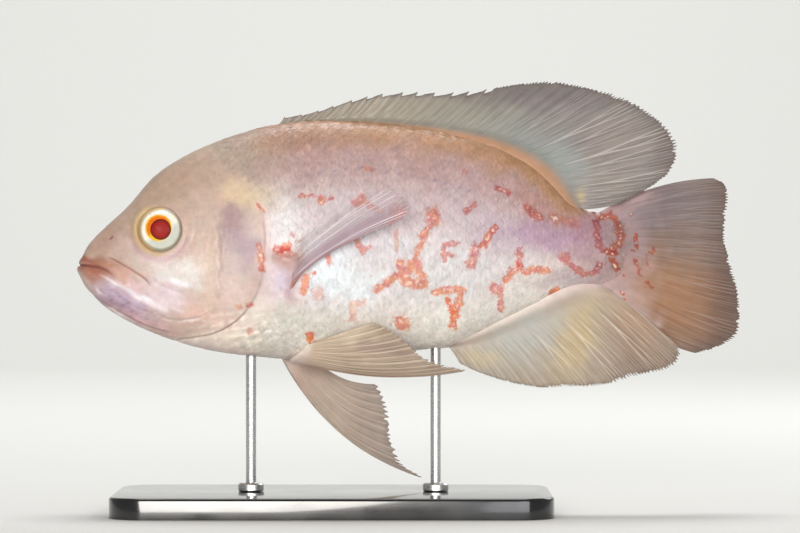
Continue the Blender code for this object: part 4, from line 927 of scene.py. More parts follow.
def keptRoots(roots):  # those on scaled skin and clear of the fins, and how far behind the head each is
    places = roots[0]
    x, z = places[:, 0], places[:, 2]
    behind, _ = nearPath(scales["start"], *seenAt(places))
    nearBack = lines["back"](x) - z < 0.0006
    onDorsal = (x > scales["dorsalX"][0]) & (x < scales["dorsalX"][1]) & nearBack
    onAnal = (z < lines["belly"](x) + 0.0006) & (x > scales["analX"])
    keep = (behind > 0.4) & ~onDorsal & ~onAnal
    return [part[keep] for part in (*roots, behind)]


def layScales(name, roots, shape, tree, material):
    places, outs, lies, sizes, maps, behind = keptRoots(roots)
    # the first scales behind the gill opening and the last on the tail lie deep in the skin
    deep = 0.00003 + 0.00012 * fade(0, 18, behind)
    deep += 0.00016 * smoothStep(0.078, scales["lastX"], places[:, 0])
    seeds = meshFrom(name + "Roots", places - outs * deep[:, None], [])
    facts = {"outward": outs, "lie": lies, "size": sizes}
    for key, values in facts.items():
        giveNumbers(seeds, key, values)
    holder = bpy.data.objects.new(name + "Roots", seeds)
    bpy.context.scene.collection.objects.link(holder)
    grow = holder.modifiers.new("scales", "NODES")
    grow.node_group = tree
    sockets = {item.name: item.identifier for item in tree.interface.items_tree if item.in_out == "INPUT"}
    grow[sockets["Scale Shape"]] = shape
    grow[sockets["Tilt"]] = math.radians(scales["tilt"])
    grow[sockets["Jitter"]] = math.radians(scales["jitter"])
    grow[sockets["Seed"]] = scales["seed"]
    bpy.context.view_layer.update()
    graph = bpy.context.evaluated_depsgraph_get()
    mesh = bpy.data.meshes.new_from_object(holder.evaluated_get(graph))
    holder.modifiers.clear()
    bpy.data.objects.remove(holder)
    mesh.name = name
    points, own = pointsOf(mesh), pointsOf(shape.data)
    count, each = len(places), len(own)
    if each * count != len(points):
        raise ValueError("the scales don't match their roots")
    giveHue(mesh, bodyHue(points))
    giveNumbers(mesh, "dark", np.zeros(len(points)))
    side = 2 * np.abs(own[:, 1])
    plain = np.repeat(smoothStep(0, 16, behind), each)  # scales show less next to the head
    # each point's nearness to its scale's rim, for the rim's tint and painted shade
    rim = np.maximum(own[:, 0], side * smoothStep(0.3, 0.7, own[:, 0]))
    giveNumbers(mesh, "edge", np.tile(rim, count) * (0.85 + 0.15 * plain))
    # the crown's spot, for the painted highlight and the marks' pale flecks
    core = np.tile(np.exp(-((own[:, 0] - 0.80) / 0.13) ** 2 - (side / 0.42) ** 2), count)
    giveNumbers(mesh, "core", plain * core * np.repeat(dice.uniform(0, 1, count) ** 0.7, each))
    giveNumbers(mesh, "shade", np.repeat(dice.uniform(0.93, 1.04, count), each))
    giveMarkings(mesh, points, np.repeat(dice.uniform(-0.25, 0.20, count), each))
    patch = np.repeat(maps, each, axis=0) + np.tile((own[:, :2] - (0.5, 0)) * scales["patch"], (count, 1))
    for layer in [layer.name for layer in mesh.uv_layers]:
        mesh.uv_layers.remove(mesh.uv_layers[layer])
    uv = mesh.uv_layers.new(name="OFBake")
    corners = np.empty(len(mesh.loops), np.int32)
    mesh.loops.foreach_get("vertex_index", corners)
    uv.data.foreach_set("uv", patch[corners].ravel().astype(np.float32))
    mesh.vertices.foreach_set("co", swing(points, curled=True).ravel().astype(np.float32))
    for key in facts.keys() & set(mesh.attributes.keys()):
        mesh.attributes.remove(mesh.attributes[key])
    mesh.shade_smooth()
    mesh.set_sharp_from_angle(angle=math.radians(40))
    mesh.update()
    addPiece(name, mesh, material)
    print(name, count, "scales")


def makeScales():
    material = skinFinish("wetScales", scaly=True)
    shape = scaleShape()
    tree = scaleTree(material)
    for side, hand in ((1, "left"), (-1, "right")):
        roots = scaleRoots(side)
        front = roots[0][:, 0] < scales["splitX"]
        for end, part in (("front", front), ("rear", ~front)):
            layScales(f"scales_{hand}_{end}", [column[part] for column in roots], shape, tree, material)
    bpy.data.objects.remove(shape)


makeScales()
print("scales done")


# Fins. Rays fork twice towards the edge, and the edge is a little ragged.

def spot(centreX, centreZ, reachX, reachZ, strength, turn=0):  # a patch of a fin's colour
    return lambda x, z, u, v: patchWeight(x, z, centreX, centreZ, reachX, reachZ, turn, strength)


def over(strength, across=None, out=None):  # a colour that comes in over a run across a fin or out along it
    def weight(x, z, u, v):
        share = strength
        for run, value in ((across, u), (out, v)):
            if run:
                share = share * smoothStep(*run, value)
        return share + 0 * v

    return weight


def softWave(u, v):  # how far a fin leaves the fish's middle plane
    return 0.0042 * v**1.5 * np.sin(1.5 + 2.6 * u) - 0.0030 * v * u


def spinyWave(u, v):
    return 0.0006 * v * np.sin(7 * u) * (1 - u) + softWave(0.0, v) * smoothStep(0.4, 1.0, u)


def analWave(u, v):
    return -0.0030 * v**1.2 * (0.25 + u) - 0.0024 * smoothStep(0.7, 1.0, u) * smoothStep(0, 0.2, v)


finRays = {"membrane": 0.00013, "fork": (0.34, 0.74), "forkAgain": (0.62, 0.94), "billow": 0.00022}
plainFin = {
    "before": 0.0, "after": 0.0,  # membrane before the first ray and after the last one, in rays
    "rootSpread": 1.0, "tipSpread": 1.0, "bowPower": 1.0, "forks": 2, "notch": 0.035, "lappet": 0.0,
    "rootShare": 0.30, "rows": 46, "cover": (1.0, 0.85), "veil": 0.0, "uneven": 0.3, "calm": 1.0,
    "showFrom": (0.05, 0.3), "swings": True, "curled": False,
}
dorsalHue = (  # one run of colours for both parts of the dorsal fin
    ("#938b79", spot(-14, 156, 44, 8, 0.8, 6)), ("#8c8a7e", spot(26, 153, 22, 9, 0.9, -4)),
    ("#7f847e", spot(47, 142, 17, 10, 0.9, -30)), ("#858c89", spot(62, 134, 12, 8, 0.8, -40)),
    ("#6f6768", spot(54, 163, 30, 6, 0.7)), ("#877d74", spot(82, 146, 14, 12, 0.6)),
    ("#695a53", spot(101, 141, 6, 16, 0.7)), ("#888179", spot(78, 129, 14, 7, 0.7)),
    ("#b08e77", over(0.85, out=(0.17, 0.02))), ("#70665f", over(0.5, out=(0.80, 1.0))),
    ("#b5a06c", spot(66, 122.5, 3, 3, 0.6)),
)
spinyDorsal = plainFin | {
    "finish": "spinyFinMembrane", "line": "back", "rootX": (-0.0535, 0.0136), "wave": spinyWave,
    "tips": (
        (-0.0490, 0.1542), (-0.0440, 0.1547), (-0.0360, 0.1565), (-0.0250, 0.1600), (-0.0110, 0.1631),
        (0.0020, 0.1639), (0.0160, 0.1638), (0.0260, 0.1646), (0.0334, 0.1658),
    ),
    "rays": 13, "after": 0.5, "bow": (-0.0005, -0.0005), "notch": 0.02, "forks": 0, "lappet": 0.11,
    "rootHalf": 0.0016, "rayHalf": 0.00030, "columns": 30, "rows": 40, "showFrom": (0.0, 0.15),
    "hue": "#7f7875", "over": dorsalHue, "ray": "#ab9f8c", "rayWidth": 0.13, "rayShow": 0.30,
    "edge": "#57504a", "edgeFrom": 0.90, "cover": (1.0, 0.9),
}
softDorsal = plainFin | {
    "finish": "softFinMembrane", "line": "back", "rootX": (0.0136, 0.0650), "wave": softWave,
    "tips": (
        (0.0334, 0.1658), (0.0450, 0.1674), (0.0550, 0.1682), (0.0640, 0.1670), (0.0720, 0.1650),
        (0.0800, 0.1630), (0.0880, 0.1596), (0.0950, 0.1548), (0.1005, 0.1500), (0.1038, 0.1456),
        (0.1046, 0.1410), (0.1034, 0.1365), (0.1010, 0.1322), (0.0970, 0.1290), (0.0920, 0.1256),
        (0.0865, 0.1228), (0.0815, 0.1203),
    ),
    "rays": 20, "before": 0.5, "bow": (-0.0005, -0.0006), "notch": 0.030, "calm": 0.55,
    "rootHalf": 0.0024, "rootShare": 0.22, "rayHalf": 0.00032, "columns": 38, "rows": 50,
    "hue": "#7f7875", "over": dorsalHue, "ray": "#beb5b0", "rayWidth": 0.12, "rayShow": 0.60,
    "edge": "#5f5550", "edgeFrom": 0.93,
}
anal = plainFin | {
    "finish": "analFinMembrane", "line": "belly", "rootX": (0.0140, 0.0740), "wave": analWave,
    "rootSpread": 1.15, "tipSpread": 0.93,
    "tips": (
        (0.0195, 0.0578), (0.0260, 0.0548), (0.0380, 0.0506), (0.0460, 0.0490), (0.0520, 0.0484),
        (0.0600, 0.0487), (0.0700, 0.0489), (0.0780, 0.0500), (0.0850, 0.0520), (0.0920, 0.0539),
        (0.0980, 0.0551), (0.1030, 0.0572), (0.1053, 0.0605), (0.1048, 0.0645),
    ),
    "rays": 19, "bow": (0.0003, 0.0008), "calm": 0.35, "showFrom": (0.08, 0.45),
    "rootHalf": 0.0021, "rootShare": 0.24, "rayHalf": 0.00026, "columns": 36,
    "hue": "#a3998b", "over": (
        ("#aa9a91", over(1.0, out=(0.28, 0.05))), ("#a4a49d", spot(44, 69, 16, 9, 0.9, 30)),
        ("#b3a076", spot(66, 68, 8, 20, 0.75, -18)), ("#8a715f", spot(90, 66, 16, 20, 0.9, 20)),
        ("#816b5b", spot(90, 57, 20, 6, 0.7, 10)), ("#a2937a", spot(60, 52, 18, 4, 0.6)),
        ("#a3866d", spot(86, 76, 12, 5, 0.6, -40)), ("#c9b98f", spot(28, 60, 8, 4, 0.4)),
    ),
    "ray": "#d8cab6", "rayWidth": 0.115, "rayShow": 0.48, "edge": "#6c5c52", "edgeFrom": 0.93,
}
caudal = plainFin | {
    "finish": "tailFinMembrane", "roots": ((0.0745, 0.1172), (0.0745, 0.0868)),
    "wave": lambda u, v: 0 * u, "curled": True,
    "tips": (
        (0.1190, 0.1303), (0.1228, 0.1282), (0.1245, 0.1240), (0.1242, 0.1180), (0.1234, 0.1110),
        (0.1233, 0.1055), (0.1246, 0.1005), (0.1263, 0.0950), (0.1278, 0.0900), (0.1290, 0.0850),
        (0.1297, 0.0800), (0.1299, 0.0750), (0.1295, 0.0710), (0.1280, 0.0680), (0.1240, 0.0655),
        (0.1180, 0.0630), (0.1120, 0.0617),
    ),
    "rays": 17, "bow": (0.0030, -0.0040), "notch": 0.022, "showFrom": (0.3, 0.8),
    "rootHalf": 0.0040, "rootShare": 0.50, "rayHalf": 0.00026, "columns": 38, "rows": 58,
    "hue": "#73655f", "over": (
        ("#736768", spot(100, 119, 20, 10, 0.85)), ("#997254", spot(104, 82, 34, 20, 0.90, -20)),
        ("#7c6860", spot(110, 104, 16, 8, 0.6)), ("#61483f", spot(130, 82, 15, 26, 0.75)),
        ("#5f4c43", over(0.65, out=(0.78, 1.0))),
    ),
    "ray": "#a8958b", "rayWidth": 0.115, "rayShow": 0.42,
    "edge": "#64534c", "edgeFrom": 0.94, "cover": (1.0, 0.88),
}
pairedFin = plainFin | {"forks": 1, "swings": False, "clear": 0.0014, "sunk": 0.0010}
pectoral = pairedFin | {
    "finish": "clearFinMembrane", "roots": ((-0.0440, 0.1030), (-0.0449, 0.0940), (-0.0456, 0.0818)),
    "tips": (
        (-0.0185, 0.1248), (-0.0120, 0.1262), (-0.0062, 0.1250), (-0.0020, 0.1212),
        (-0.0002, 0.1176), (-0.0034, 0.1132),
    ),
    "offSkin": (0.0095, 0.0140, 0.0125),  # how far its tips stand off the skin, from the upper ray down
    "rays": 8, "bow": (0.0010, 0.0068), "bowPower": 0.58, "notch": 0.10, "uneven": 0.7,
    "showFrom": (0.0, 0.15), "rootHalf": 0.0007, "rayHalf": 0.00012, "columns": 34,
    "hue": "#cfc3c8", "over": (
        ("#b48f86", over(1.0, out=(0.26, 0.05))), ("#a58c97", over(0.85, (0.45, 0.80))),
        # the brown-red line along the lower border: its thick ray, darkened with painted shade of the
        # underside folded behind
        ("#8e4a32", over(0.9, (0.93, 0.99), (0.9, 0.45))), ("#c9743f", over(0.8, (0.80, 0.95), (0.16, 0.05))),
        ("#bf6a64", over(0.8, (0.55, 0.8), (0.84, 0.97))),
    ),
    "ray": "#e8e1e3", "rayWidth": 0.21, "rayShow": 0.70,
    "edge": "#a87c72", "edgeFrom": 0.96, "cover": (0.85, 0.35), "veil": 0.86,
}
pelvic = pairedFin | {
    "rays": 11, "rootHalf": 0.0010, "rayHalf": 0.00034, "columns": 26, "rayWidth": 0.17,
    "edgeFrom": 0.95, "cover": (1.0, 0.80),
}
leftPelvic = pelvic | {
    "finish": "leftPelvicMembrane", "roots": ((-0.0465, 0.0599), (-0.0430, 0.0624), (-0.0395, 0.0655)),
    "tips": (
        (0.0222, 0.0556), (0.0125, 0.0578), (0.0072, 0.0598), (0.0028, 0.0628),
        (-0.0010, 0.0662), (-0.0055, 0.0703), (-0.0140, 0.0745),
    ),
    "offMiddle": (0.0150, 0.0235),  # its tips' place out from the fish's middle plane
    "bow": (-0.0046, 0.0),
    "hue": "#af9b88", "over": (
        ("#c4ae99", over(1.0, out=(0.4, 0.1))), ("#9e8474", over(0.6, (0.16, 0.0))),
        ("#967f76", spot(-10, 64, 18, 2.6, 0.7, -6)), ("#d2c2a9", spot(-24, 69, 12, 4, 0.7, 12)),
    ),
    "ray": "#ddd0bc", "rayShow": 0.50, "edge": "#a6957f",
}
rightPelvic = pelvic | {
    "finish": "rightPelvicMembrane", "roots": ((-0.0500, 0.0601), (-0.0450, 0.0608), (-0.0400, 0.0630)),
    "tips": (
        (0.0056, 0.0114), (-0.0036, 0.0180), (-0.0060, 0.0236), (-0.0080, 0.0302),
        (-0.0085, 0.0378), (-0.0106, 0.0442), (-0.0130, 0.0492),
    ),
    "offMiddle": (0.0260, 0.0180), "bow": (-0.0078, -0.0040),
    "hue": "#b3a293", "over": (
        ("#bca496", over(1.0, out=(0.4, 0.1))), ("#9f9088", over(0.6, out=(0.5, 1.0)))),
    "ray": "#cfc3b5", "rayShow": 0.45, "edge": "#8d8078",
}
fins = (  # the piece, the CAD node it takes the place of, its settings, and its side if it's one of a pair
    ("dorsal_spiny", "dorsal_fin_spiny", spinyDorsal, 0), ("dorsal_soft", "dorsal_fin_soft", softDorsal, 0),
    ("anal", "anal_fin", anal, 0), ("caudal", "caudal_fin", caudal, 0),
    ("pectoral_left", "pectoral_fin_left", pectoral, -1),
    ("pectoral_right", "pectoral_fin_right", pectoral, 1),
    ("pelvic_left", "pelvic_fin_left", leftPelvic, -1), ("pelvic_right", "pelvic_fin_right", rightPelvic, 1),
)


def rayPlace(u, fin):  # the nearest ray's number, and the place from it, in rays
    span = fin["rays"] - 1 + fin["before"] + fin["after"]
    place = u * span - fin["before"]
    place = place + 0.10 * np.sin(2.3 * place + 1.0) * np.sin(math.pi * np.clip(u, 0, 1))
    number = np.clip(np.round(place), 0, fin["rays"] - 1)
    return number, place - number


def rayShape(u, v, fin):  # 1 on a ray or one of its forks, 0 on the membrane
    number, off = rayPlace(u, fin)
    own = v + 0.07 * np.sin(2.4 * number)
    first = smoothStep(*finRays["fork"], own) if fin["forks"] > 0 else 0 * v
    second = smoothStep(*finRays["forkAgain"], own) if fin["forks"] > 1 else 0 * v
    off = np.abs(np.abs(np.abs(off) - 0.23 * first) - 0.115 * second)
    width = fin["rayWidth"] * (1 - 0.30 * first - 0.25 * second)
    return np.exp(-(off / width) ** 2)


def fanPlace(fin, roots):
    roots, tips = pathThrough(roots), pathThrough(fin["tips"])
    front, rear = fin["bow"]

    def place(u, v):
        root, tip = roots(u ** fin["rootSpread"]), tips(u ** fin["tipSpread"])
        along = tip - root
        across = np.stack([-along[..., 1], along[..., 0]], axis=-1)
        across /= np.linalg.norm(across, axis=-1, keepdims=True)
        bent = v ** fin["bowPower"]
        lift = (front + (rear - front) * u) * 4 * bent * (1 - bent)
        return root + along * v[..., None] + across * lift[..., None]

    return place


def finEdge(u, v, fin):  # the membrane is drawn in between the rays' tips, behind a spine, and at a few nicks
    number, off = rayPlace(u, fin)
    ends = rayShape(u, np.ones_like(v), fin)
    behind = np.mod(off, 1.0)
    fringe = fin["notch"] * (1 - ends) * (0.75 + 0.45 * np.sin(number * 3.7 + 0.8) * np.sin(number * 1.3))
    lappet = fin["lappet"] * (1 - behind) * smoothStep(0, 0.10, behind)
    nick = 0.022 * np.clip(np.sin(u * 67 + 1) * np.sin(u * 41) - 0.35, 0, 1)
    return 1 - (fringe + lappet + nick) * smoothStep(0.75, 1.0, v)


def sheet(middle, half):  # points and faces of a closed sheet about a grid of middle points
    normal = np.cross(np.gradient(middle, axis=0), np.gradient(middle, axis=1))
    normal /= np.linalg.norm(normal, axis=-1, keepdims=True)
    points = np.concatenate([(middle + side * normal * half[..., None]).reshape(-1, 3) for side in (1, -1)])
    n, m = half.shape
    i, j = np.meshgrid(np.arange(n - 1), np.arange(m - 1), indexing="ij")
    first = (i * m + j).ravel()
    front = np.stack([first, first + m, first + m + 1, first + 1], axis=1)
    back = n * m
    faces = np.concatenate([front, back + front[:, ::-1]]).tolist()
    border = [k * m for k in range(n)] + [(n - 1) * m + k for k in range(1, m)]
    border += [k * m + m - 1 for k in range(n - 2, -1, -1)] + [k for k in range(m - 2, 0, -1)]
    faces += [(p, back + p, back + q, q) for p, q in zip(border, border[1:] + border[:1])]
    return points, faces


def makeFin(name, node, fin, place):
    span = fin["rays"] - 1 + fin["before"] + fin["after"]
    columns = np.linspace(0, 1, int(span * fin["columns"]) + 1)
    rows = np.linspace(0, 1, fin["rows"]) ** 0.92
    u, v = np.meshgrid(columns, rows, indexing="ij")
    middle = place(u, v * finEdge(u, v, fin))
    number, off = rayPlace(u, fin)
    ray = rayShape(u, v, fin) * (fin["calm"] + (1 - fin["calm"]) * smoothStep(0.15, 0.60, u))
    ray *= 1 - fin["uneven"] * (0.5 - 0.5 * np.sin(2.1 * number + 1.0))
    middle[..., 1] += finRays["billow"] * np.cos(2 * math.pi * off) * smoothStep(0.15, 0.5, v)
    flesh = fade(0, fin["rootShare"], v) ** (1.0 if fin["curled"] else 1.6)
    flesh *= fin["rootHalf"] - finRays["membrane"]
    if fin["curled"]:  # rounded like the tail stalk
        flesh *= np.sqrt(np.clip(1 - np.abs(2 * u - 1) ** 1.9, 0, 1))
    rise = fin["rayHalf"] * ray * (1 - 0.55 * v) * (1 - 0.4 * smoothStep(0.9, 1, v))
    shown = smoothStep(*fin["showFrom"], v)  # the rays come out of flesh
    points, faces = sheet(middle, finRays["membrane"] + flesh + rise * shown)
    mesh = meshFrom(name, swing(points, fin["curled"]) if fin["swings"] else points, faces)
    faceOut(mesh)
    steps = np.linalg.norm(np.diff(middle, axis=1, prepend=middle[:, :1]), axis=-1)
    length = np.cumsum(steps, axis=1) * 1000
    both = np.concatenate([middle.reshape(-1, 3)] * 2)
    u, v, ray, shown, length = (np.concatenate([part.ravel()] * 2) for part in (u, v, ray, shown, length))
    seenX, seenZ = seenAt(both)
    warped = seenX + 1.5 * ripples(seenX, seenZ, 12, 31), seenZ + 1.5 * ripples(seenX, seenZ, 12, 32)
    colours = blendTo(np.zeros((len(u), 3)), fin["hue"], np.ones(len(u)))
    colours = blendAll(colours, [(paint, weight(*warped, u, v)) for paint, weight in fin["over"]])
    fromBody = 0.8 * fade(0.03, 0.13, v)
    if fin["curled"]:
        fromBody = fade(86, 101, seenX + 2.5 * ripples(seenX, seenZ, 9, 33))
        giveMarkings(mesh, both)
    giveHue(mesh, colours + (bodyHue(both) - colours) * fromBody[:, None])
    low, high = fin["cover"]
    cover = (low + (high - low) * smoothStep(0.55, 1.0, v)) * (1 - fin["veil"] * fade(0.35, 0.9, u))
    sheer = fin["veil"] * fade(0.3, 0.8, u)
    cover = np.maximum(cover, ray * (0.96 - sheer * (0.25 + 0.60 * smoothStep(0.25, 0.85, v))))
    fleshy = 1 - fin["veil"] * fade(0.45, 0.85, u)
    cover = np.maximum(cover, fleshy * fade(0.05, 0.30, v))
    if fin["veil"]:  # its thin rays rise out of the skin
        cover *= 1 - fade(0.0, 0.16, v) * fade(0.55, 0.85, u)
    fibre = np.stack([u * span * 3.2, length * 0.06, 0 * u], axis=1)
    facts = {
        "cover": cover, "ray": ray * shown, "shown": shown, "margin": v, "alongRay": length, "fibre": fibre}
    for key, values in facts.items():
        giveNumbers(mesh, key, values)
    finish = bpy.data.materials.get(fin["finish"]) or finFinish(fin)
    addPiece(name, mesh, finish, node)


def finFinish(fin):
    # Thin wet membrane between bony rays: paler ridges that catch light, a dusky thin edge.
    material, add, shader = newMaterial(fin["finish"], {
        "Coat Weight": 0.15, "Coat Roughness": 0.25, "IOR": 1.40, "Specular IOR Level": 0.4,
        "Subsurface Weight": 0.08, "Subsurface Scale": 0.0010,
    })
    place = add("TexCoord", output="Object")
    fibre = add("Attribute", output="Vector", attribute_name="fibre")
    ray, shown, margin, alongRay, cover = (
        add("Attribute", output="Fac", attribute_name=key)
        for key in ("ray", "shown", "margin", "alongRay", "cover"))
    mottle, ragged, streak = (
        add("TexNoise", {"Vector": vector, "Scale": scale, "Detail": 3.0}) for vector, scale in (
            (place, 1 / fishSkin["mottle"]), (place, 1 / fishSkin["hollow"]), (fibre, 1.0)))
    colour = shadeBy(add, add("Attribute", attribute_name="hue"), mottle, 0.94, 1.04)
    colour = layColour(add, colour, shadeBy(add, colour, streak, 0.93, 1.05), shown, 0.0, 1.0)
    colour = layColour(add, colour, fin["ray"], ray, 0.35, 1.0, fin["rayShow"])
    if fin["curled"]:  # the markings run on from the body
        colour = paintMarks(add, place, colour)
    dusk = add("Math", {0: ragged, 1: 0.16, 2: margin}, operation="MULTIPLY_ADD")
    colour = layColour(add, colour, fin["edge"], dusk, fin["edgeFrom"] + 0.06, 1.10, 0.6)
    # the rays' joints, 1.3 mm apart
    wave = add("Math", {0: alongRay, 1: 2 * math.pi / 1.3}, operation="MULTIPLY")
    joints = add("Math", {0: wave}, operation="SINE")
    knots = add("Math", {0: joints, 1: ray}, operation="MULTIPLY")
    height = add("Math", {0: streak, 1: 3.0, 2: knots}, operation="MULTIPLY_ADD")
    giveSurface(add, shader, colour, mottle, 0.36, 0.50, height, 0.00008)
    material.node_tree.links.new(cover, shader.inputs["Alpha"])
    return material


def medianPlace(fin):
    roots = fin.get("roots")
    if roots is None:
        dense = np.linspace(*fin["rootX"], 40)
        inside = -0.0016 if fin["line"] == "back" else 0.0016
        roots = np.stack([dense, lines[fin["line"]](dense) + inside], axis=1)
    flat = fanPlace(fin, roots)

    def place(u, v):
        at = flat(u, v)
        return np.stack([at[..., 0], fin["wave"](u, v), at[..., 1]], axis=-1)

    return place


def pairedPlace(fin, side):
    flat = fanPlace(fin, fin["roots"])
    offSkin = "offSkin" in fin
    reach = fin["offSkin"] if offSkin else fin["offMiddle"]
    reach = lineThrough(tuple(zip(np.linspace(0, 1, len(reach)), reach)))

    def place(u, v):
        at = flat(u, v)
        out = flank(at[..., 0], at[..., 1])
        out = out + fin["clear"] * smoothStep(0.02, 0.22, v) - fin["sunk"] * fade(0, 0.08, v)
        if offSkin:
            out = out + reach(u) * v**1.15
        else:
            root = flat(u, np.zeros_like(v))
            start = flank(root[..., 0], root[..., 1])
            out = np.maximum(out, start + (reach(u) - start) * v**0.8)
        return np.stack([at[..., 0], side * out, at[..., 1]], axis=-1)

    return place


for name, node, fin, side in fins:
    makeFin(name, node, fin, pairedPlace(fin, side) if side else medianPlace(fin))
print("fins done")


# Eyes: a ball with a flat iris and a sunken pupil, under a clear cornea

iris = {
    "ochre": "#c4a978", "cream": "#ebe6d8", "greyTintAndShade": "#a8b1a7", "yellow": "#e3b024", "amber": "#d9680a",
    "pupil": "#920f06", "deep": "#4c0803", "line": "#8a8468",
}


def eyeFrame(side):  # local Z points out of the head, local X up the body's height
    depth = float(flank(np.array(eye["x"]), np.array(eye["z"]))) - eye["sunk"]
    yaw, pitch = math.radians(eye["yaw"]), math.radians(eye["pitch"])
    outward = Vector((-math.sin(yaw), side * math.cos(yaw), math.sin(pitch)))
    turn = outward.to_track_quat("Z", "Y").to_matrix().to_4x4()
    return Matrix.Translation((eye["x"], side * depth, eye["z"])) @ turn


def turned(name, profile, steps):
    # a closed turned shape from (radius, height) pairs that run from the axis to the axis
    rings = np.array(profile[1:-1], float)
    angle = np.arange(steps) * 2 * math.pi / steps
    x, y = rings[:, :1] * np.cos(angle), rings[:, :1] * np.sin(angle)
    points = np.stack([x, y, rings[:, 1:] + 0 * angle], axis=-1).reshape(-1, 3)
    points = np.concatenate([points, [(0, 0, profile[0][1]), (0, 0, profile[-1][1])]])
    first, last = len(points) - 2, len(points) - 1
    faces = []
    for j in range(steps):
        k = (j + 1) % steps
        faces.append((first, j, k))
        for low in range(0, (len(rings) - 1) * steps, steps):
            faces.append((low + j, low + steps + j, low + steps + k, low + k))
        low = (len(rings) - 1) * steps
        faces.append((last, low + k, low + j))
    mesh = meshFrom(name, points, faces)
    faceOut(mesh)
    return mesh


def ballHeight(radius):
    return eye["halfDepth"] * math.sqrt(max(0.0, 1 - (radius / eye["radius"]) ** 2))


def ballProfile():
    # a sunken domed pupil, then an iris that runs out flush with the ball
    irisR, pupilR, top, brim = (
        eye[key] for key in ("irisRadius", "pupilRadius", "pupilHeight", "irisHeight"))
    edge = ballHeight(irisR)
    points = [(0.0, top)]
    points += [(r, top - 0.00040 * (r / pupilR) ** 2) for r in np.linspace(0.0004, pupilR * 0.97, 8)]
    points += [(pupilR, top - 0.00020), (pupilR * 1.03, brim)]
    for r in np.linspace(pupilR * 1.06, irisR, 16):
        share = (r - pupilR) / (irisR - pupilR)
        points.append((r, brim + (edge - brim) * share**1.5 + 0.00010 * math.sin(share * 9)))
    for angle in np.linspace(math.asin(irisR * 1.02 / eye["radius"]), math.pi, 26)[:-1]:
        points.append((eye["radius"] * math.sin(angle), eye["halfDepth"] * math.cos(angle)))
    return points + [(0.0, -eye["halfDepth"])]


def corneaProfile():
    reach = eye["corneaRadius"]
    outer = [(r, ballHeight(r) + eye["corneaRise"] * float(smoothStep(reach, reach * 0.7, r)) + 0.00002)
             for r in np.linspace(0, reach, 22)]
    inner = [(r, h - eye["corneaThick"]) for r, h in reversed(outer)]
    return [(0.0, outer[0][1])] + outer[1:] + inner[:-1] + [(0.0, inner[-1][1])]


def eyeFinish():
    # A fish's iris: silvery cream guanine round an amber ring, the red of blood through the pupil.
    material, add, shader = newMaterial("silveryIris", {"Specular IOR Level": 0.10})
    radius, lean, glow, front = (
        add("Attribute", output="Fac", attribute_name=key) for key in ("ringRadius", "lean", "glow", "front"))
    spokes = add("Attribute", output="Vector", attribute_name="spokes")
    fibres = add("TexNoise", {"Vector": spokes, "Scale": 1.0, "Detail": 3.0})
    ragged = add("Math", {0: fibres, 1: 0.12, 2: glow}, operation="MULTIPLY_ADD")
    silver = layColour(add, iris["cream"], iris["greyTintAndShade"], fibres, 0.45, 0.72, 0.45)
    # greyer towards the lower rear: a grey-green tint with painted shade
    silver = layColour(add, silver, iris["greyTintAndShade"], lean, 0.55, 0.05, 0.62)
    silver = layColour(add, silver, iris["line"], radius, 7.0, 7.7, 0.55)
    outer = layColour(add, silver, iris["ochre"], front, 0.2, 0.8)
    amber = layColour(add, iris["yellow"], iris["amber"], lean, 0.35, 0.85)
    rim = layColour(add, amber, iris["yellow"], ragged, 0.86, 1.00, 0.8)
    core = layColour(add, iris["pupil"], iris["deep"], radius, 2.6, 4.0, 0.9)
    colour = layColour(add, rim, silver, ragged, 0.98, 1.10)
    colour = layColour(add, core, colour, radius, 3.86, 4.10)
    colour = layColour(add, colour, outer, radius, 7.55, 7.95)
    colour = shadeBy(add, colour, fibres, 0.94, 1.04)
    giveSurface(add, shader, colour, fibres, 0.36, 0.46, fibres, 0.0001)
    return material


def corneaFinish():
    # Clear living cornea: only its gloss shows, more of it where the dome turns away.
    material = bpy.data.materials.new("clearCornea")
    material.use_nodes = True
    material.node_tree.nodes.clear()
    add = partial(addNode, material.node_tree)
    turnedAway = add("LayerWeight", {"Blend": 0.5}, "Facing")
    steep = add("Math", {0: turnedAway, 1: 4.0}, operation="POWER")
    gloss = add("Math", {0: steep, 1: 0.35, 2: 0.0015}, operation="MULTIPLY_ADD")
    shine = add("BsdfGlossy", {"Roughness": 0.04, "Color": (1, 1, 1, 1)})
    mixed = add("MixShader", {0: gloss, 1: add("BsdfTransparent"), 2: shine})
    add("OutputMaterial", {"Surface": mixed})
    return material


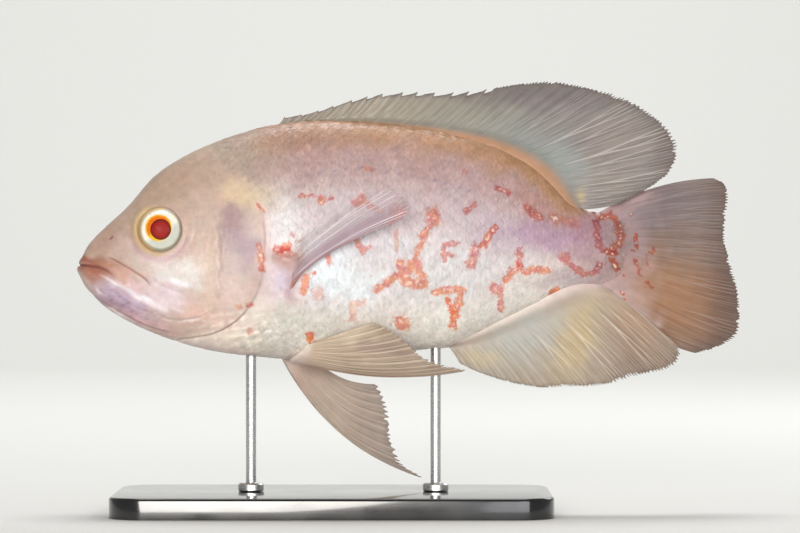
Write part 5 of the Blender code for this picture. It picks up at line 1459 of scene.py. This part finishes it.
def makeEyes():
    finish, cornea = eyeFinish(), corneaFinish()
    for side, hand in ((-1, "left"), (1, "right")):
        ball = turned(f"eye_ball_{hand}", ballProfile(), 72)
        own = pointsOf(ball)
        radius = np.hypot(own[:, 0], own[:, 1]) * 1000
        radius = np.where(own[:, 2] < 0, 9.0, radius)
        angle = np.arctan2(own[:, 1], own[:, 0])
        ball.transform(eyeFrame(side))
        world = pointsOf(ball)
        ahead, above = (eye["x"] - world[:, 0]) * 1000, (world[:, 2] - eye["z"]) * 1000
        # amber lies wide over the pupil's front and top, and nearly ends below behind it
        wide = 5.15 + 1.05 * np.cos(np.arctan2(above, -ahead) - 2.5)
        facts = {
            "ringRadius": radius, "glow": radius / wide,
            "lean": smoothStep(-4, 4, 0.6 * ahead + above),
            "front": smoothStep(-2.5, 3.5, ahead + 0.3 * above),
            "spokes": np.stack([np.cos(angle) * 9, np.sin(angle) * 9, radius * 0.35], axis=1),
        }
        for key, values in facts.items():
            giveNumbers(ball, key, values)
        # the pupil sits a little to the rear and low in its ring
        shift = np.clip(1 - (radius / 7.5) ** 2, 0, 1)[:, None] * (0.00026, 0, -0.00012)
        ball.vertices.foreach_set("co", (world + shift).ravel().astype(np.float32))
        addPiece(f"eye_ball_{hand}", ball, finish, f"eye_{hand}")
        dome = turned(f"cornea_{hand}", corneaProfile(), 72)
        dome.transform(eyeFrame(side))
        addPiece(f"cornea_{hand}", dome, cornea, f"eye_{hand}")


makeEyes()
print("eyes done")


# The stand

stand = {
    "rodRadius": 0.0020, "collarRadius": 0.0050, "collarHeight": 0.0030, "chamfer": 0.0006,
    "round": 0.0003, "intoFish": 0.0011, "intoPlate": 0.0002, "plateCorner": 0.014, "plateEdge": 0.0012,
    "steel": "#c9c9c8", "acrylic": "#0b0b0c",
}


def steelFinish():
    # Brushed stainless steel: soft streaks round the rod from fine grit, drawn coarse enough to show.
    material, add, shader = newMaterial("brushedSteel", {"Metallic": 1.0, "Anisotropic": 0.4})
    place = add("TexCoord", output="Object")
    squeezed = add("Mapping", {"Vector": place, "Scale": (300, 300, 5200)})
    grit = add("TexNoise", {"Vector": squeezed, "Scale": 1.0, "Detail": 3.0})
    colour = shadeBy(add, stand["steel"], grit, 0.88, 1.05)
    giveSurface(add, shader, colour, grit, 0.22, 0.38, grit, 0.00002)
    return material


def acrylicFinish():
    # Polished black acrylic: deep black, a clear gloss, hardly any wear.
    material, add, shader = newMaterial(
        "polishedAcrylic", {"Coat Weight": 0.6, "Coat Roughness": 0.05, "IOR": 1.49})
    place = add("TexCoord", output="Object")
    haze = add("TexNoise", {"Vector": place, "Scale": 60.0, "Detail": 4.0})
    drawn = add("Mapping", {"Vector": place, "Rotation": (0, 0, 0.4), "Scale": (60, 2600, 60)})
    scratch = add("TexNoise", {"Vector": drawn, "Scale": 1.0, "Detail": 2.0})
    colour = shadeBy(add, stand["acrylic"], haze, 0.8, 1.3)
    giveSurface(add, shader, colour, haze, 0.10, 0.20, scratch, 0.000003)
    return material


def makeStand():
    low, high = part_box("stand_base")
    plate = bmesh.new()
    bmesh.ops.create_cube(plate, size=1.0)
    bmesh.ops.scale(plate, vec=high - low, verts=plate.verts)
    bmesh.ops.translate(plate, vec=(low + high) / 2, verts=plate.verts)
    middle = (low.z + high.z) / 2
    upright = [e for e in plate.edges if abs(e.verts[0].co.z - e.verts[1].co.z) > 0.001]
    rounding = partial(bmesh.ops.bevel, plate, profile=0.5, affect="EDGES")
    rounding(geom=upright, offset=stand["plateCorner"], segments=16)
    rim = []  # where the top meets the sides
    for e in plate.edges:
        tilts = sorted(abs(f.normal.z) for f in e.link_faces)
        if all(v.co.z > middle for v in e.verts) and len(tilts) == 2 and tilts[0] < 0.1 and tilts[1] > 0.9:
            rim.append(e)
    rounding(geom=rim, offset=stand["plateEdge"], segments=5)
    mesh = bpy.data.meshes.new("stand_plate")
    plate.to_mesh(mesh)
    plate.free()
    mesh.shade_smooth()
    mesh.set_sharp_from_angle(angle=math.radians(30))
    addPiece("stand_plate", mesh, acrylicFinish(), "stand_base")
    steel = steelFinish()
    for node in ("stand_rod_front", "stand_rod_rear"):
        low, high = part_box(node)
        foot, x = low.z, (low.x + high.x) / 2
        r, c, h, f, bit = (
            stand[key] for key in ("rodRadius", "collarRadius", "collarHeight", "chamfer", "round"))
        top, sunk = high.z - foot + stand["intoFish"], -stand["intoPlate"]
        profile = [(0, top), (r - bit, top), (r, top - bit), (r, h + bit), (r + bit, h), (c - f, h)]
        profile += [(c, h - f), (c, f / 2), (c - f / 2, sunk), (0, sunk)]
        mesh = turned(node + "_turned", profile, 48)
        mesh.transform(Matrix.Translation((x, 0, foot)))
        mesh.set_sharp_from_angle(angle=math.radians(30))
        addPiece(node + "_turned", mesh, steel, node)


makeStand()
print("stand done")


# Floor and light

studio = {
    "floor": "#d8d8d5", "curveFrom": 2.0, "curveRadius": 0.9, "halfWidth": 4.5, "front": -4.5, "height": 3.2,
    "world": 0.30,
    "lights": (  # place, size, power in W, tint, and where it's aimed
        ("key", (-0.30, -1.75, 0.30), 0.7, 22.5, "#fffaf4", (-0.01, 0.0, 0.10)),
        ("fill", (0.55, -1.50, 0.06), 0.9, 9.0, "#f8f9ff", (-0.01, 0.0, 0.10)),
        ("top", (0.05, 0.20, 1.45), 1.1, 3.0, "#ffffff", (-0.01, 0.0, 0.10)),
        ("rim", (0.75, 0.85, 0.75), 0.6, 3.0, "#ffffff", (-0.01, 0.0, 0.10)),
        ("backdrop", (0.0, 1.0, 2.6), 1.6, 60.0, "#ffffff", (0.0, 2.4, 0.0)),
    ),
}


def makeStudio():
    angle = np.linspace(0, math.pi / 2, 25)
    bend, radius = studio["curveFrom"], studio["curveRadius"]
    ys = np.concatenate([[studio["front"], bend], bend + radius * np.sin(angle[1:]), [bend + radius]])
    zs = np.concatenate([[0, 0], radius * (1 - np.cos(angle[1:])), [studio["height"]]])
    points = [(x, y, z - 0.0002) for x in (-studio["halfWidth"], studio["halfWidth"]) for y, z in zip(ys, zs)]
    n = len(ys)
    mesh = meshFrom("paper_sweep", points, [(i, n + i, n + i + 1, i + 1) for i in range(n - 1)])
    # Matt seamless paper, its fibre drawn coarse enough to show.
    material, add, shader = newMaterial("seamlessPaper", {"Specular IOR Level": 0.2})
    place = add("TexCoord", output="Object")
    fibre = add("TexNoise", {"Vector": place, "Scale": 900.0, "Detail": 3.0})
    colour = shadeBy(add, studio["floor"], fibre, 0.985, 1.015)
    giveSurface(add, shader, colour, fibre, 0.80, 0.90, fibre, 0.00002)
    sweep = bpy.data.objects.new("paper_sweep", mesh)
    mesh.materials.append(material)
    bpy.context.scene.collection.objects.link(sweep)
    for name, place, size, power, tint, target in studio["lights"]:
        light = bpy.data.lights.new(name, "AREA")
        light.shape = "DISK"
        light.size = size
        light.energy = power
        light.color = toLinear(tint)
        lamp = bpy.data.objects.new(name, light)
        lamp.location = place
        lamp.rotation_euler = (Vector(target) - Vector(place)).to_track_quat("-Z", "Y").to_euler()
        bpy.context.scene.collection.objects.link(lamp)
    world = bpy.data.worlds.new("soft_room")
    world.use_nodes = True
    world.node_tree.nodes["Background"].inputs["Color"].default_value = (1, 1, 1, 1)
    world.node_tree.nodes["Background"].inputs["Strength"].default_value = studio["world"]
    bpy.context.scene.world = world
    bpy.context.scene.view_settings.view_transform = "Standard"


makeStudio()
print("studio done")
